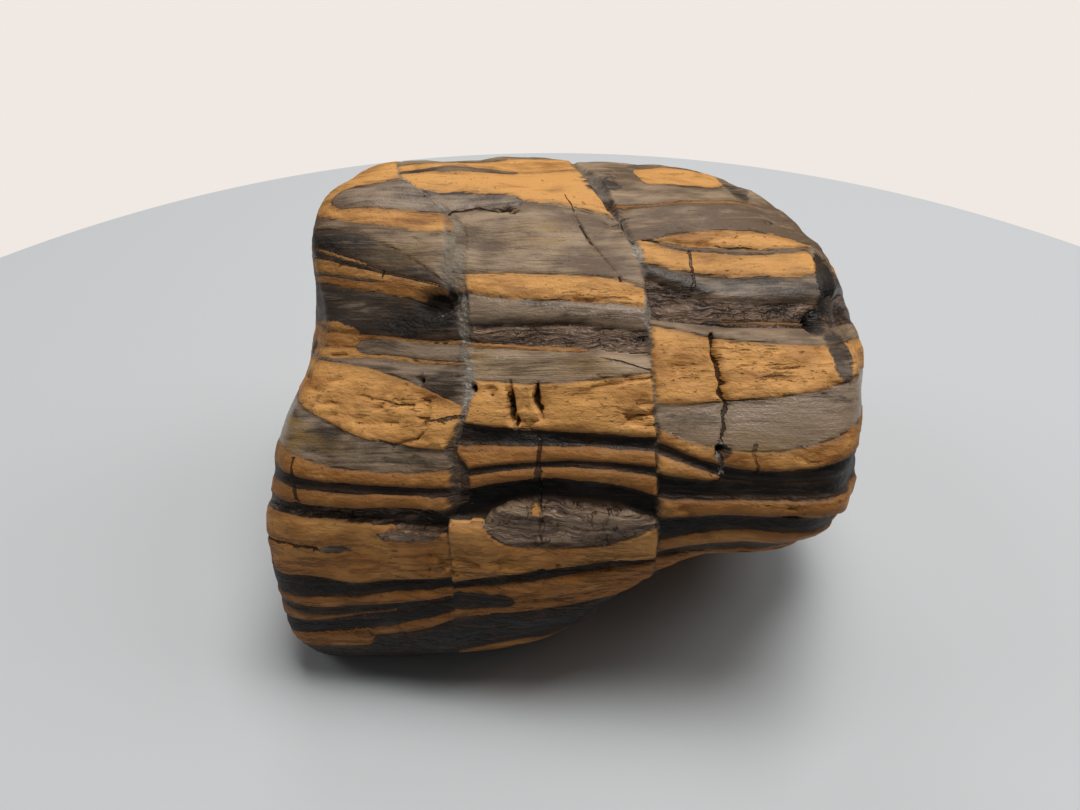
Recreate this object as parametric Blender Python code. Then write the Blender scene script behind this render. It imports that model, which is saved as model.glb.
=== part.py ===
"""Banded iron formation hand specimen: one water-worn, blocky cobble of ochre chert and dark ironstone beds.

The stone is a soft-cornered block with a flat to rest on. Its beds dip to the back, and two upright veins
cut it into three slices in which the beds are offset. Soft beds are worn back into seams and hollows, hard
beds stand out as ribs, and veins, cracks and pits are cut into the worn skin.

Directions are a heading (0 faces the front, -Y; 90 the right, +X; 180 the back) and a rise above the
horizontal, both in degrees. A place on the stone's skin is given by x and by its bed depth: how far it lies
below the bed that passes through the stone's heart, square to the bedding. All lengths are millimetres
until the mesh is made in metres.
"""

import math

import bmesh
import bpy
import numpy as np

MM = 0.001

# Overall form
HEART = np.array([0.0, 0.0, 40.0])
CORNER_CRISPNESS = 18.0
CELLS_ALONG_EDGE = 92
BASE_CUT = 1.0
TRIANGLE_SHARE = 0.083

# Worn faces of the block: heading, rise, distance from the heart
WORN_FACES = {
    "crown": (170, 77, 48.6),
    "upper slope": (5, 68, 44.6),
    "shoulder": (350, 42, 46.0),
    "front": (352, 10, 51.0),
    "front foot": (5, -37, 55.5),
    "right undercut": (29, -35, 51.5),
    "left": (268, 0, 60.3),
    "left front": (286, 10, 68.0),
    "foot left": (314, -16, 84.5),
    "left foot": (282, -42, 74.0),
    "left shoulder": (255, 50, 69.0),
    "crown left": (217, 66, 64.0),
    "left rear": (235, 8, 63.0),
    "right": (95, 2, 61.0),
    "right side": (72, 10, 62.5),
    "right front": (60, -3, 70.5),
    "right bottom": (85, -45, 57.0),
    "right shoulder": (101, 48, 60.0),
    "crown right": (120, 60, 62.5),
    "crown back right": (150, 68, 55.5),
    "right rear": (140, 8, 61.0),
    "back": (180, 2, 52.0),
    "back shoulder": (185, 45, 58.0),
    "back foot": (180, -40, 55.0),
    "base": (0, -90, 40.0),
}

# Broad hollows: heading, rise, half-width across, half-width up and down, depth
HOLLOWS = {
    "left notch": (288, 28, 30.0, 21.0, 11.5),
    "overhang": (30, -26, 20.0, 22.0, 14.5),
    "low recess": (56, -38, 18.0, 14.0, 6.0),
    "lip notch": (26, -4, 8.5, 7.0, 3.2),
    "right notch": (70, 30, 11.0, 6.0, 3.0),
}

# Broad unevenness left by wear: wavelength and height of two sets of swells
SWELLS = ((34.0, 0.7), (17.0, 0.35))

# Bedding: dip towards the back, and the three slices that the veins part
BEDDING_DIP = 30.0
LEFT, MIDDLE, RIGHT = 0, 1, 2
SLICE_SPANS = {LEFT: (-56.0, -24.0), MIDDLE: (-18.0, 12.0), RIGHT: (16.0, 46.0)}

# Worn-back beds of each slice: bed depth at the slice's left and right, half-thickness, how far worn back
SEAMS = {
    LEFT: {
        "weathered seam": (-31.0, -29.0, 4.0, 0.5),
        "dark bed under the second ochre": (-20.0, -16.0, 3.2, 0.6),
        "grey seam": (-10.0, -8.5, 1.8, 0.8),
        "glossy bed": (4.5, 8.5, 2.8, 0.9),
        "thin dark bed": (12.4, 14.0, 0.9, 0.9),
        "fibrous ledge": (18.0, 20.2, 2.2, 2.0),
        "thick dark bed": (34.2, 32.6, 2.0, 1.0),
        "lower dark bed": (44.5, 39.5, 2.4, 1.0),
    },
    MIDDLE: {
        "weathered seam": (-31.0, -30.5, 5.4, 0.9),
        "rib": (-18.6, -17.0, 2.0, 0.8),
        "fibrous hollow": (-14.2, -13.0, 2.0, 2.6),
        "patchy grey bed": (-8.8, -9.2, 2.6, 1.2),
        "dark ledge": (3.8, 4.2, 1.6, 1.5),
        "thin dark bed": (9.8, 8.8, 0.7, 0.9),
        "deep ledge": (14.6, 14.6, 1.8, 2.6),
        "lower dark bed": (31.5, 27.0, 1.8, 1.2),
        "foot seam": (38.0, 34.5, 2.5, 1.0),
    },
    RIGHT: {
        "open crack": (-31.2, -29.6, 0.6, 1.2),
        "rib": (-24.4, -22.2, 1.9, 0.8),
        "fibrous hollow": (-18.8, -17.4, 2.1, 2.4),
        "grey seam": (-14.9, -14.0, 1.3, 1.0),
        "glossy bed": (0.0, -2.0, 3.2, 0.8),
        "dark ledge": (10.4, 10.0, 3.0, 1.8),
        "lower dark bed": (19.4, 18.2, 1.6, 1.6),
        "underside seam": (26.0, 25.0, 2.4, 1.2),
    },
}
LEDGE_SLOPE = 0.9

# Towards the stone's rounded left and right ends the ledges are worn down: from where to where, and how much
ENDS = (46.0, 54.0)
ENDS_WORN_SHARE = 0.65

# Hollow lens of fibrous ore in the middle slice: x, bed depth, half-length, half-thickness, depth
FIBROUS_LENS = (2.0, 18.8, 15.0, 3.8, 1.8)

# Upright veins that part the slices: their x at a list of bed depths, half-width and depth of the groove
VEIN_LEFT = ((-46.0, -34.5), (-38.0, -26.0), (-25.0, -21.5), (-12.0, -20.0), (0.0, -19.5), (8.0, -22.0), (20.0, -22.5))
VEIN_RIGHT = ((-48.0, 3.0), (-38.0, 7.5), (-28.0, 12.0), (-10.0, 13.7), (5.0, 14.1), (26.0, 14.5))
VEIN_HALF_WIDTH = 1.3
VEIN_DEPTH = 1.1

# Open cracks across the beds, on the upper side only: two or more points (x, bed depth), half-width, depth
CRACKS = {
    "long crack": (((23.7, -14.0), (24.3, -8.0), (25.5, -2.4), (24.6, 4.0)), 0.9, 2.4),
    "short crack": (((26.3, -1.5), (28.0, 2.5)), 0.7, 1.4),
    "edge vein": (((44.4, -28.0), (44.0, -21.0), (42.3, -15.0), (45.0, -8.0)), 1.5, 1.3),
    "slanting crack": (((0.0, -36.0), (4.8, -28.5), (8.4, -23.0)), 0.7, 0.8),
}

# Pits, on the upper side only: x, bed depth, half-width, half-height, depth
PITS = {
    "vein cavity": (-24.2, -20.4, 3.4, 2.4, 3.6),
    "small pit by the vein": (-28.1, -5.8, 1.2, 1.0, 1.6),
    "pit in the vein": (-18.5, -4.7, 1.1, 1.1, 1.6),
    "left slot": (-11.2, -1.8, 1.2, 4.0, 2.4),
    "middle slot": (-9.0, -4.2, 1.0, 1.8, 1.6),
    "right slot": (-5.9, -2.4, 1.0, 3.4, 2.2),
    "crown notch": (-12.0, -36.8, 2.6, 0.8, 1.6),
    "edge cavity": (43.0, -16.6, 2.4, 2.0, 3.2),
    "upper edge cavity": (46.4, -21.2, 1.4, 1.6, 1.8),
    "back edge pit": (38.0, -34.9, 1.8, 0.8, 1.4),
}

# The relief dies out this far above the flat that the stone rests on
RELIEF_FADE = (1.5, 9.0)

STONE_COLOUR = (0.27, 0.17, 0.09, 1.0)
STONE_ROUGHNESS = 0.62


def clear_scene():
    """Remove whatever objects the file holds."""
    for old in list(bpy.data.objects):
        bpy.data.objects.remove(old, do_unlink=True)


def stone_material():
    """The mid brown of the ochre and dark beds seen together."""
    material = bpy.data.materials.new("banded_ironstone")
    material.use_nodes = True
    shader = material.node_tree.nodes["Principled BSDF"]
    shader.inputs["Base Color"].default_value = STONE_COLOUR
    shader.inputs["Roughness"].default_value = STONE_ROUGHNESS
    shader.inputs["Metallic"].default_value = 0.0
    return material


def direction(heading, rise):
    """Unit vector for a heading and a rise in degrees."""
    turn = math.radians(heading)
    tilt = math.radians(rise)
    return np.array([math.sin(turn) * math.cos(tilt), -math.cos(turn) * math.cos(tilt), math.sin(tilt)])


def smooth_step(low, high, value):
    """0 below low, 1 above high, and a smooth rise between them."""
    share = np.clip((value - low) / (high - low), 0.0, 1.0)
    return share * share * (3.0 - 2.0 * share)


def block_radius(rays):
    """Distance from the heart to the soft-cornered block's skin along each ray."""
    total = np.zeros(len(rays))
    for heading, rise, distance in WORN_FACES.values():
        facing = np.maximum(rays @ direction(heading, rise), 0.0)
        total += (facing / distance) ** CORNER_CRISPNESS
    return total ** (-1.0 / CORNER_CRISPNESS)


def hollow_depth(rays, radius, heading, rise, across, up_down, depth):
    """Depth of one broad hollow along each ray."""
    centre = direction(heading, rise)
    turn = math.radians(heading)
    side = np.array([math.cos(turn), math.sin(turn), 0.0])
    upward = np.cross(side, centre)
    along_side = (rays @ side) * radius / across
    along_up = (rays @ upward) * radius / up_down
    facing = smooth_step(0.0, 0.4, rays @ centre)
    return depth * facing * np.exp(-1.2 * (along_side ** 2 + along_up ** 2))


def swell_height(points):
    """Broad, shallow unevenness of the worn skin."""
    height = np.zeros(len(points))
    for number, (wavelength, size) in enumerate(SWELLS):
        phase = points * (2.0 * math.pi / wavelength) + number
        height += size * np.sin(phase[:, 0]) * np.cos(phase[:, 1] + 0.7) * np.sin(phase[:, 2] + 1.9)
    return height


def bed_depth(points):
    """Depth of each point below the bed through the heart, square to the bedding."""
    dip = math.radians(BEDDING_DIP)
    rel = points - HEART
    return -(rel[:, 1] * math.sin(dip) + rel[:, 2] * math.cos(dip))


def upper_side(points):
    """1 on the side where the beds crop out facing up and forward, 0 on the far side."""
    dip = math.radians(BEDDING_DIP)
    rel = points - HEART
    return smooth_step(-4.0, 4.0, rel[:, 2] * math.sin(dip) - rel[:, 1] * math.cos(dip))


def vein_x(depth, vein):
    """Where a vein lies at each bed depth."""
    depths, places = zip(*vein)
    return np.interp(depth, depths, places)


def seam_recess(x, depth, slice_number):
    """How far the worn-back beds of one slice lie below the skin."""
    left, right = SLICE_SPANS[slice_number]
    share = np.clip((x - left) / (right - left), -0.2, 1.2)
    recess = np.zeros(len(x))
    for depth_left, depth_right, half, worn in SEAMS[slice_number].values():
        middle = depth_left + (depth_right - depth_left) * share
        off = np.abs(depth - middle)
        recess = np.maximum(recess, worn * (1.0 - smooth_step(half - LEDGE_SLOPE, half + LEDGE_SLOPE, off)))
    return recess


def slices_recess(x, depth):
    """The three slices' worn-back beds, each in its own place between the veins."""
    past_left = smooth_step(-0.8, 0.8, x - vein_x(depth, VEIN_LEFT))
    past_right = smooth_step(-0.8, 0.8, x - vein_x(depth, VEIN_RIGHT))
    recess = seam_recess(x, depth, LEFT) * (1.0 - past_left)
    recess += seam_recess(x, depth, MIDDLE) * past_left * (1.0 - past_right)
    recess += seam_recess(x, depth, RIGHT) * past_right
    return recess * (1.0 - ENDS_WORN_SHARE * smooth_step(*ENDS, np.abs(x)))


def vein_recess(x, depth):
    """The shallow grooves along the two veins."""
    recess = np.zeros(len(x))
    for vein in (VEIN_LEFT, VEIN_RIGHT):
        last = vein[-1][0]
        off = np.abs(x - vein_x(depth, vein))
        groove = VEIN_DEPTH * (1.0 - smooth_step(0.3, VEIN_HALF_WIDTH + 0.5, off))
        recess = np.maximum(recess, groove * (1.0 - smooth_step(last, last + 5.0, depth)))
    return recess


def crack_recess(x, depth):
    """Open cracks, measured from the lines through their points."""
    recess = np.zeros(len(x))
    here = np.stack([x, depth], axis=1)
    for points, half_width, deep in CRACKS.values():
        nearest = np.full(len(x), 1000.0)
        for start, end in zip(points[:-1], points[1:]):
            start = np.array(start)
            run = np.array(end) - start
            share = np.clip(((here - start) @ run) / (run @ run), 0.0, 1.0)
            nearest = np.minimum(nearest, np.linalg.norm(here - start - share[:, None] * run, axis=1))
        recess = np.maximum(recess, deep * (1.0 - smooth_step(0.2, half_width + 0.6, nearest)))
    return recess


def bowl_recess(x, depth, place):
    """One rounded pit or lens-shaped hollow."""
    centre_x, centre_depth, half_x, half_depth, deep = place
    off = np.sqrt(((x - centre_x) / half_x) ** 2 + ((depth - centre_depth) / half_depth) ** 2)
    return deep * (1.0 - smooth_step(0.35, 1.15, off))


def skin_points(rays):
    """Points of the finished skin along rays from the heart."""
    radius = block_radius(rays)
    plain = radius.copy()
    for hollow in HOLLOWS.values():
        radius -= hollow_depth(rays, plain, *hollow)
    smooth = HEART + rays * radius[:, None]
    depth = bed_depth(smooth)
    x = smooth[:, 0]
    upper = upper_side(smooth)
    recess = slices_recess(x, depth)
    recess = np.maximum(recess, vein_recess(x, depth))
    recess = np.maximum(recess, crack_recess(x, depth) * upper)
    recess += bowl_recess(x, depth, FIBROUS_LENS) * upper
    for pit in PITS.values():
        recess += bowl_recess(x, depth, pit) * upper
    fade = smooth_step(*RELIEF_FADE, smooth[:, 2])
    radius += (swell_height(smooth) - recess) * fade
    return HEART + rays * radius[:, None]


def stone_mesh():
    """A finely divided cube, carried out to the stone's skin and cut flat below."""
    build = bmesh.new()
    bmesh.ops.create_cube(build, size=2.0)
    bmesh.ops.subdivide_edges(build, edges=build.edges[:], cuts=CELLS_ALONG_EDGE - 1, use_grid_fill=True)
    mesh = bpy.data.meshes.new("stone")
    build.to_mesh(mesh)
    build.free()
    corners = np.empty(len(mesh.vertices) * 3)
    mesh.vertices.foreach_get("co", corners)
    rays = np.tan(corners.reshape(-1, 3) * (math.pi / 4.0))
    rays /= np.linalg.norm(rays, axis=1)[:, None]
    points = skin_points(rays)
    points[:, 2] = np.maximum(points[:, 2] - BASE_CUT, 0.0)
    mesh.vertices.foreach_set("co", (points * MM).ravel())
    mesh.update()
    return mesh


def thin_out(stone):
    """Keep small faces only where the form needs them, and keep the resting flat truly flat."""
    thinner = stone.modifiers.new("fewer faces", "DECIMATE")
    thinner.ratio = TRIANGLE_SHARE
    thinner.use_collapse_triangulate = True
    graph = bpy.context.evaluated_depsgraph_get()
    thinned = bpy.data.meshes.new_from_object(stone.evaluated_get(graph))
    stone.modifiers.remove(thinner)
    stone.data = thinned


def settle(mesh):
    """Put the origin at the middle of the footprint's box, on the resting flat."""
    places = np.empty(len(mesh.vertices) * 3)
    mesh.vertices.foreach_get("co", places)
    places = places.reshape(-1, 3)
    places[places[:, 2] < 0.15 * MM, 2] = 0.0
    places[:, :2] -= (places[:, :2].min(axis=0) + places[:, :2].max(axis=0)) / 2.0
    mesh.vertices.foreach_set("co", places.ravel())
    mesh.update()


def build_stone(collection):
    """The whole specimen, one solid."""
    stone = bpy.data.objects.new("stone", stone_mesh())
    collection.objects.link(stone)
    thin_out(stone)
    settle(stone.data)
    stone.data.name = "stone"
    stone.data.materials.append(stone_material())
    stone.data.shade_smooth()
    return stone


def main():
    clear_scene()
    collection = bpy.data.collections.new("banded_iron_formation_specimen")
    bpy.context.scene.collection.children.link(collection)
    build_stone(collection)


main()
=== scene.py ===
"""Looks of a banded iron formation hand specimen: a worn cobble of ochre chert and dark ironstone beds.

The skin is one closed mesh. It starts from the same worn block as the solid part, and takes on finer
relief: beds worn back or standing out, grooves along the bedding, cracks, pits and the two veins that part
the stone into three slices. A log of beds for each slice says what each bed is made of, where its lower
face lies and how far it is worn back. The material is worked out from that log by shader nodes.

A place on the skin is given by x and by its bed depth, the distance below the bed through the stone's
heart, square to the bedding. Lengths are millimetres until a mesh is made in metres. A heading of 0 faces
the front (-Y), 90 the right (+X).
"""

import logging
import math
from collections.abc import Iterator
from dataclasses import dataclass, field
from enum import Enum, IntEnum
from functools import partial

import bpy
import numpy as np
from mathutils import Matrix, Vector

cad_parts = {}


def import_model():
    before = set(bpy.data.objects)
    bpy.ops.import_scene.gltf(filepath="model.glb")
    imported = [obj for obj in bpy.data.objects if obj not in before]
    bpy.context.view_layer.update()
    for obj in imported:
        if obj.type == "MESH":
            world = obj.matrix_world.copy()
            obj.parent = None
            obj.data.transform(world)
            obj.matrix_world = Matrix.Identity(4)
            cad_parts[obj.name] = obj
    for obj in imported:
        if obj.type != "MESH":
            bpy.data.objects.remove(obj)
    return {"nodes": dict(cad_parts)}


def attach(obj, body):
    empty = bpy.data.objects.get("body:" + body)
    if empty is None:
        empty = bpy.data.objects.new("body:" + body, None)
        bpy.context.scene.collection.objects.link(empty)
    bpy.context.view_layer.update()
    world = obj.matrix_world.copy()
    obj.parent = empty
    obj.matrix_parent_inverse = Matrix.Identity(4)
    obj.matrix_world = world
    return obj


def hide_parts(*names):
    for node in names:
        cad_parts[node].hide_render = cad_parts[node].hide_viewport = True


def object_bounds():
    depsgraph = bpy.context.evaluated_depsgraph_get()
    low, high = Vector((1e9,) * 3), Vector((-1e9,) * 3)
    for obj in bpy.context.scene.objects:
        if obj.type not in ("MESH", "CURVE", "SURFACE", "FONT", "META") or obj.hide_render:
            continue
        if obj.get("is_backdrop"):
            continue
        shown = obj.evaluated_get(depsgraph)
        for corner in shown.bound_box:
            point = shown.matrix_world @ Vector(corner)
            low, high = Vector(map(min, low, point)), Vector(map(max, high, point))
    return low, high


MM = 0.001
LOG = logging.getLogger("banded_ironstone")


class Seed(IntEnum):
    """Which noise pattern is laid out. One with several layers also uses the numbers after its own."""

    WAVER = 11
    WANDER = 31
    CRACK_DEPTH = 35
    RUBBLE = 41
    GROOVE = 51
    FINE_GROOVE = 61
    GRAIN = 71
    PITTING = 81
    PITTED_AREAS = 91
    ERODED = 101


class Finish(Enum):
    """What a bed is made of. The value is the code that the bed tables hand to the material."""

    OCHRE = (1.0, 0.0, 0.0)
    DARK = (0.0, 0.0, 0.0)
    GREY = (0.0, 1.0, 0.0)
    WEATHERED = (0.0, 1.0, 1.0)
    FIBROUS = (0.0, 0.0, 1.0)


@dataclass(frozen=True)
class Relief:
    """How one finish wears: groove height and spacing, grain height, and how readily it pits."""

    groove: float
    spacing: float
    grain: float
    pitting: float


RELIEF = {
    Finish.OCHRE: Relief(groove=0.10, spacing=2.4, grain=0.07, pitting=1.0),
    Finish.DARK: Relief(groove=0.12, spacing=1.7, grain=0.04, pitting=0.0),
    Finish.GREY: Relief(groove=0.06, spacing=2.0, grain=0.04, pitting=0.1),
    Finish.WEATHERED: Relief(groove=0.22, spacing=2.0, grain=0.08, pitting=0.35),
    Finish.FIBROUS: Relief(groove=0.50, spacing=1.8, grain=0.06, pitting=0.0),
}


# Beyond the stone, in x and in bed depth; and the lower face of each slice's last bed.
FAR = 200.0
ABOVE_ALL = -120.0
BOTTOM = (120.0, 120.0, 120.0)
# Borders are drawn from a bed's number and the share through it, within this reach of each face.
BORDER_REACH = 1.5
# A bed lower than this is closed up. The number stands where none is.
CLOSED_HEIGHT = 0.02
NONE_CLOSED = -9
# Distance that stands for no crack or inclusion nearby, when places are compared and when it is stored.
NOWHERE = 1000.0
NOT_NEAR = 50.0


@dataclass(frozen=True)
class Bed:
    """One bed of a slice.

    base is the bed depth of its lower face at the slice's left, middle and right stations. worn is how far
    it is worn back, tone its lightness from 0 to 1, and span the x between which it is found, with a
    rounded end of the given nose length where it stops inside the slice. crown is how far its middle swells
    out between its edges.
    """

    name: str
    finish: Finish
    base: tuple[float, float, float]
    worn: float = 0.0
    tone: float = 0.5
    span: tuple[float, float] = (-FAR, FAR)
    nose: float = 2.5
    crown: float = 0.32


O, D, G, W, F = Finish.OCHRE, Finish.DARK, Finish.GREY, Finish.WEATHERED, Finish.FIBROUS

LEFT_BEDS = (
    Bed("rear grey", W, (-55.0, -54.0, -53.0), 0.2),
    Bed("ochre cap", O, (-41.5, -43.6, -47.0), 0.0, 0.75),
    Bed("grey lens", G, (-39.0, -37.4, -37.3), 0.0, 0.55, (-47.5, FAR), 5.0),
    Bed("ochre rim", O, (-38.5, -34.5, -33.3), 0.0, 0.6),
    Bed("brown seam", W, (-33.0, -32.2, -23.4), 0.15, 0.35),
    Bed("glossy wedge", G, (-32.5, -27.0, -22.6), 0.3, 0.0),
    Bed("ochre sliver", O, (-31.0, -26.9, -22.6), 0.1, 0.6, (-FAR, -39.0), 3.0),
    Bed("dark parting", D, (-29.4, -26.0, -22.5), 0.3, 0.6),
    Bed("second ochre, upper", O, (-26.0, -24.2, -21.0), 0.0, 0.55),
    Bed("brown thread", W, (-25.6, -23.9, -20.8), 0.05, 0.3, (-FAR, -37.0), 2.0),
    Bed("second ochre, lower", O, (-25.0, -22.0, -19.0), 0.0, 0.45),
    Bed("dark bed", G, (-16.4, -13.7, -13.2), 0.4, 0.0),
    Bed("ochre thread, upper", O, (-13.0, -12.9, -12.7), 0.7, 0.5),
    Bed("grey wedge", G, (-10.0, -9.9, -9.5), 0.7, 0.75, (-41.0, FAR), 3.0),
    Bed("ochre thread, lower", O, (-9.7, -9.3, -9.0), 0.5, 0.6),
    Bed("grey seam", G, (-9.6, -7.9, -2.9), 0.4, 0.6),
    Bed("broad ochre", O, (-3.5, 4.0, 6.2), 0.0, 0.65),
    Bed("glossy bed", G, (6.4, 10.3, 9.9), 0.7, 0.45),
    Bed("ochre strip", O, (11.0, 12.9, 13.2), 0.2, 0.2),
    Bed("dark thread", D, (13.2, 14.6, 14.8), 0.9, 0.2),
    Bed("ochre strip, lower", O, (16.6, 17.5, 17.6), 0.2, 0.1),
    Bed("fibrous ledge", F, (18.8, 20.4, 21.8), 2.0, 0.1),
    Bed("foot ochre", O, (31.6, 32.6, 31.0), 0.0, 0.5),
    Bed("thick dark bed", D, (36.5, 35.6, 33.3), 1.0, 0.0),
    Bed("foot ochre, second", O, (38.3, 38.1, 35.4), 0.2, 0.3),
    Bed("dark thread, second", D, (39.9, 39.9, 36.2), 0.8, 0.1),
    Bed("foot ochre, third", O, (42.2, 40.4, 36.8), 0.2, 0.1, (-FAR, -34.0), 2.0),
    Bed("lower dark bed", D, (45.8, 43.6, 39.0), 1.0, 0.0),
    Bed("brown ochre", O, (45.8, 44.4, 40.7), 0.6, 0.1, (-33.5, FAR), 2.0),
    Bed("foot ochre, lowest", O, (49.0, 47.8, 41.0), 0.2, 0.1, (-FAR, -39.5), 0.5),
    Bed("dark foot", D, BOTTOM, 0.4, 0.2),
)

MIDDLE_BEDS = (
    Bed("rear grey", W, (-50.5, -52.0, -50.0), 0.2),
    Bed("ochre cap, upper", O, (-47.2, -47.6, -47.8), 0.0, 0.8),
    Bed("grey thread", G, (-46.2, -46.9, -47.2), 0.0, 0.5, (-FAR, -11.0), 2.0),
    Bed("ochre cap", O, (-40.9, -38.8, -36.3), 0.0, 1.0),
    Bed("grey lens", G, (-37.4, -36.9, -35.8), 0.0, 0.5, (-FAR, -9.5), 4.0),
    Bed("brown seam", W, (-25.4, -25.2, -22.2), 0.35, 0.5),
    Bed("second ochre", O, (-21.5, -20.3, -18.7), 0.0, 0.8),
    Bed("rib", G, (-16.3, -16.2, -14.6), 0.7, 0.7, crown=0.6),
    Bed("fibrous hollow", F, (-13.0, -12.0, -11.0), 1.7, 0.7),
    Bed("ochre thread", O, (-12.3, -11.3, -10.6), 1.2, 0.5, (-FAR, 2.0), 3.0),
    Bed("patchy bed", W, (-6.1, -5.6, -7.6), 0.9, 0.75),
    Bed("broad ochre", O, (2.0, 2.8, 3.0), 0.0, 0.85),
    Bed("dark ledge", D, (5.4, 5.4, 5.5), 1.3, 0.3),
    Bed("ochre strip", O, (9.2, 8.0, 8.2), 0.2, 0.3),
    Bed("dark thread", D, (10.5, 9.0, 9.7), 0.8, 0.2),
    Bed("ochre strip, lower", O, (13.3, 11.4, 13.2), 0.2, 0.15),
    Bed("deep ledge", D, (17.0, 15.4, 17.0), 2.6, 0.1),
    Bed("fibrous lens", F, (22.6, 23.9, 20.6), 0.9, 1.0, (-16.6, 14.4), 6.5, 0.5),
    Bed("foot ochre", O, (30.8, 27.7, 25.9), 0.0, 0.7),
    Bed("lower dark bed", D, (32.6, 29.6, 26.8), 1.0, 0.1),
    Bed("foot ochre, second", O, (34.0, 32.8, 30.5), 0.3, 0.15),
    Bed("dark bed, second", D, (37.6, 35.6, 33.0), 0.7, 0.1, (-FAR, -11.0), 3.0),
    Bed("brown ochre", O, (38.9, 36.6, 35.0), 0.6, 0.1),
    Bed("dark foot", D, (48.0, 46.0, 45.0), 0.4, 0.2),
    Bed("hidden ochre", O, (51.0, 50.0, 49.0), 0.1, 0.4),
    Bed("dark sole", D, BOTTOM, 0.4, 0.3),
)

RIGHT_BEDS = (
    Bed("rear grey", W, (-49.5, -50.0, -50.0), 0.2),
    Bed("ochre patch", O, (-43.2, -43.5, -44.0), 0.0, 0.85, (13.0, 33.0), 4.0),
    Bed("brown seam", W, (-38.9, -39.2, -39.8), 0.1, 0.45),
    Bed("tan thread", O, (-38.4, -38.7, -39.3), 0.1, 0.3, (-FAR, 36.0), 3.0),
    Bed("grey seam", W, (-32.0, -33.1, -31.2), 0.15, 0.25),
    Bed("second ochre", O, (-31.6, -29.5, -30.6), 0.0, 0.75),
    Bed("open parting", W, (-30.8, -28.6, -29.8), 0.5, 0.3),
    Bed("third ochre", O, (-26.3, -24.4, -24.8), 0.0, 0.75, (-FAR, 44.6), 1.5),
    Bed("rib", G, (-22.9, -19.5, -20.2), 0.7, 0.3, crown=0.7),
    Bed("fibrous hollow", F, (-17.4, -16.6, -16.6), 1.7, 0.5),
    Bed("tan thread, hollow", O, (-17.0, -16.2, -16.2), 1.4, 0.2, (26.0, 43.0), 3.0),
    Bed("fibrous hollow, lower", F, (-16.6, -15.6, -15.7), 1.4, 0.5),
    Bed("brown seam, second", W, (-15.2, -13.0, -12.6), 0.8, 0.5),
    Bed("broad ochre", O, (-2.6, -3.6, -6.4), 0.0, 0.65),
    Bed("glossy bed", G, (2.4, 5.0, 1.2), 0.6, 0.95),
    Bed("ochre strip", O, (4.8, 8.2, 6.0), 0.1, 0.3),
    Bed("dark ledge, upper", D, (6.6, 9.9, 9.0), 1.2, 0.2),
    Bed("small ochre", O, (9.7, 10.4, 9.5), 0.4, 0.4, (-FAR, 24.5), 3.0),
    Bed("dark ledge", D, (13.8, 13.4, 12.5), 1.7, 0.2),
    Bed("ochre strip, lower", O, (17.5, 16.4, 16.3), 0.2, 0.15),
    Bed("lower dark bed", D, (21.6, 19.4, 19.0), 1.4, 0.1),
    Bed("brown ochre", O, (24.0, 22.0, 21.5), 0.6, 0.2),
    Bed("underside parting", D, (25.2, 23.2, 23.0), 1.2, 0.2),
    Bed("underside ochre", O, (29.0, 27.5, 27.0), 0.5, 0.2),
    Bed("underside dark bed", D, (36.0, 34.0, 33.0), 0.8, 0.3),
    Bed("hidden ochre", O, (41.0, 39.5, 38.0), 0.2, 0.4),
    Bed("dark sole", D, BOTTOM, 0.4, 0.3),
)


def of_bed(rows: np.ndarray, number: np.ndarray) -> np.ndarray:
    """Each place's value in the row of its own bed."""
    return np.take_along_axis(rows, number[None, :], axis=0)[0]


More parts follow.
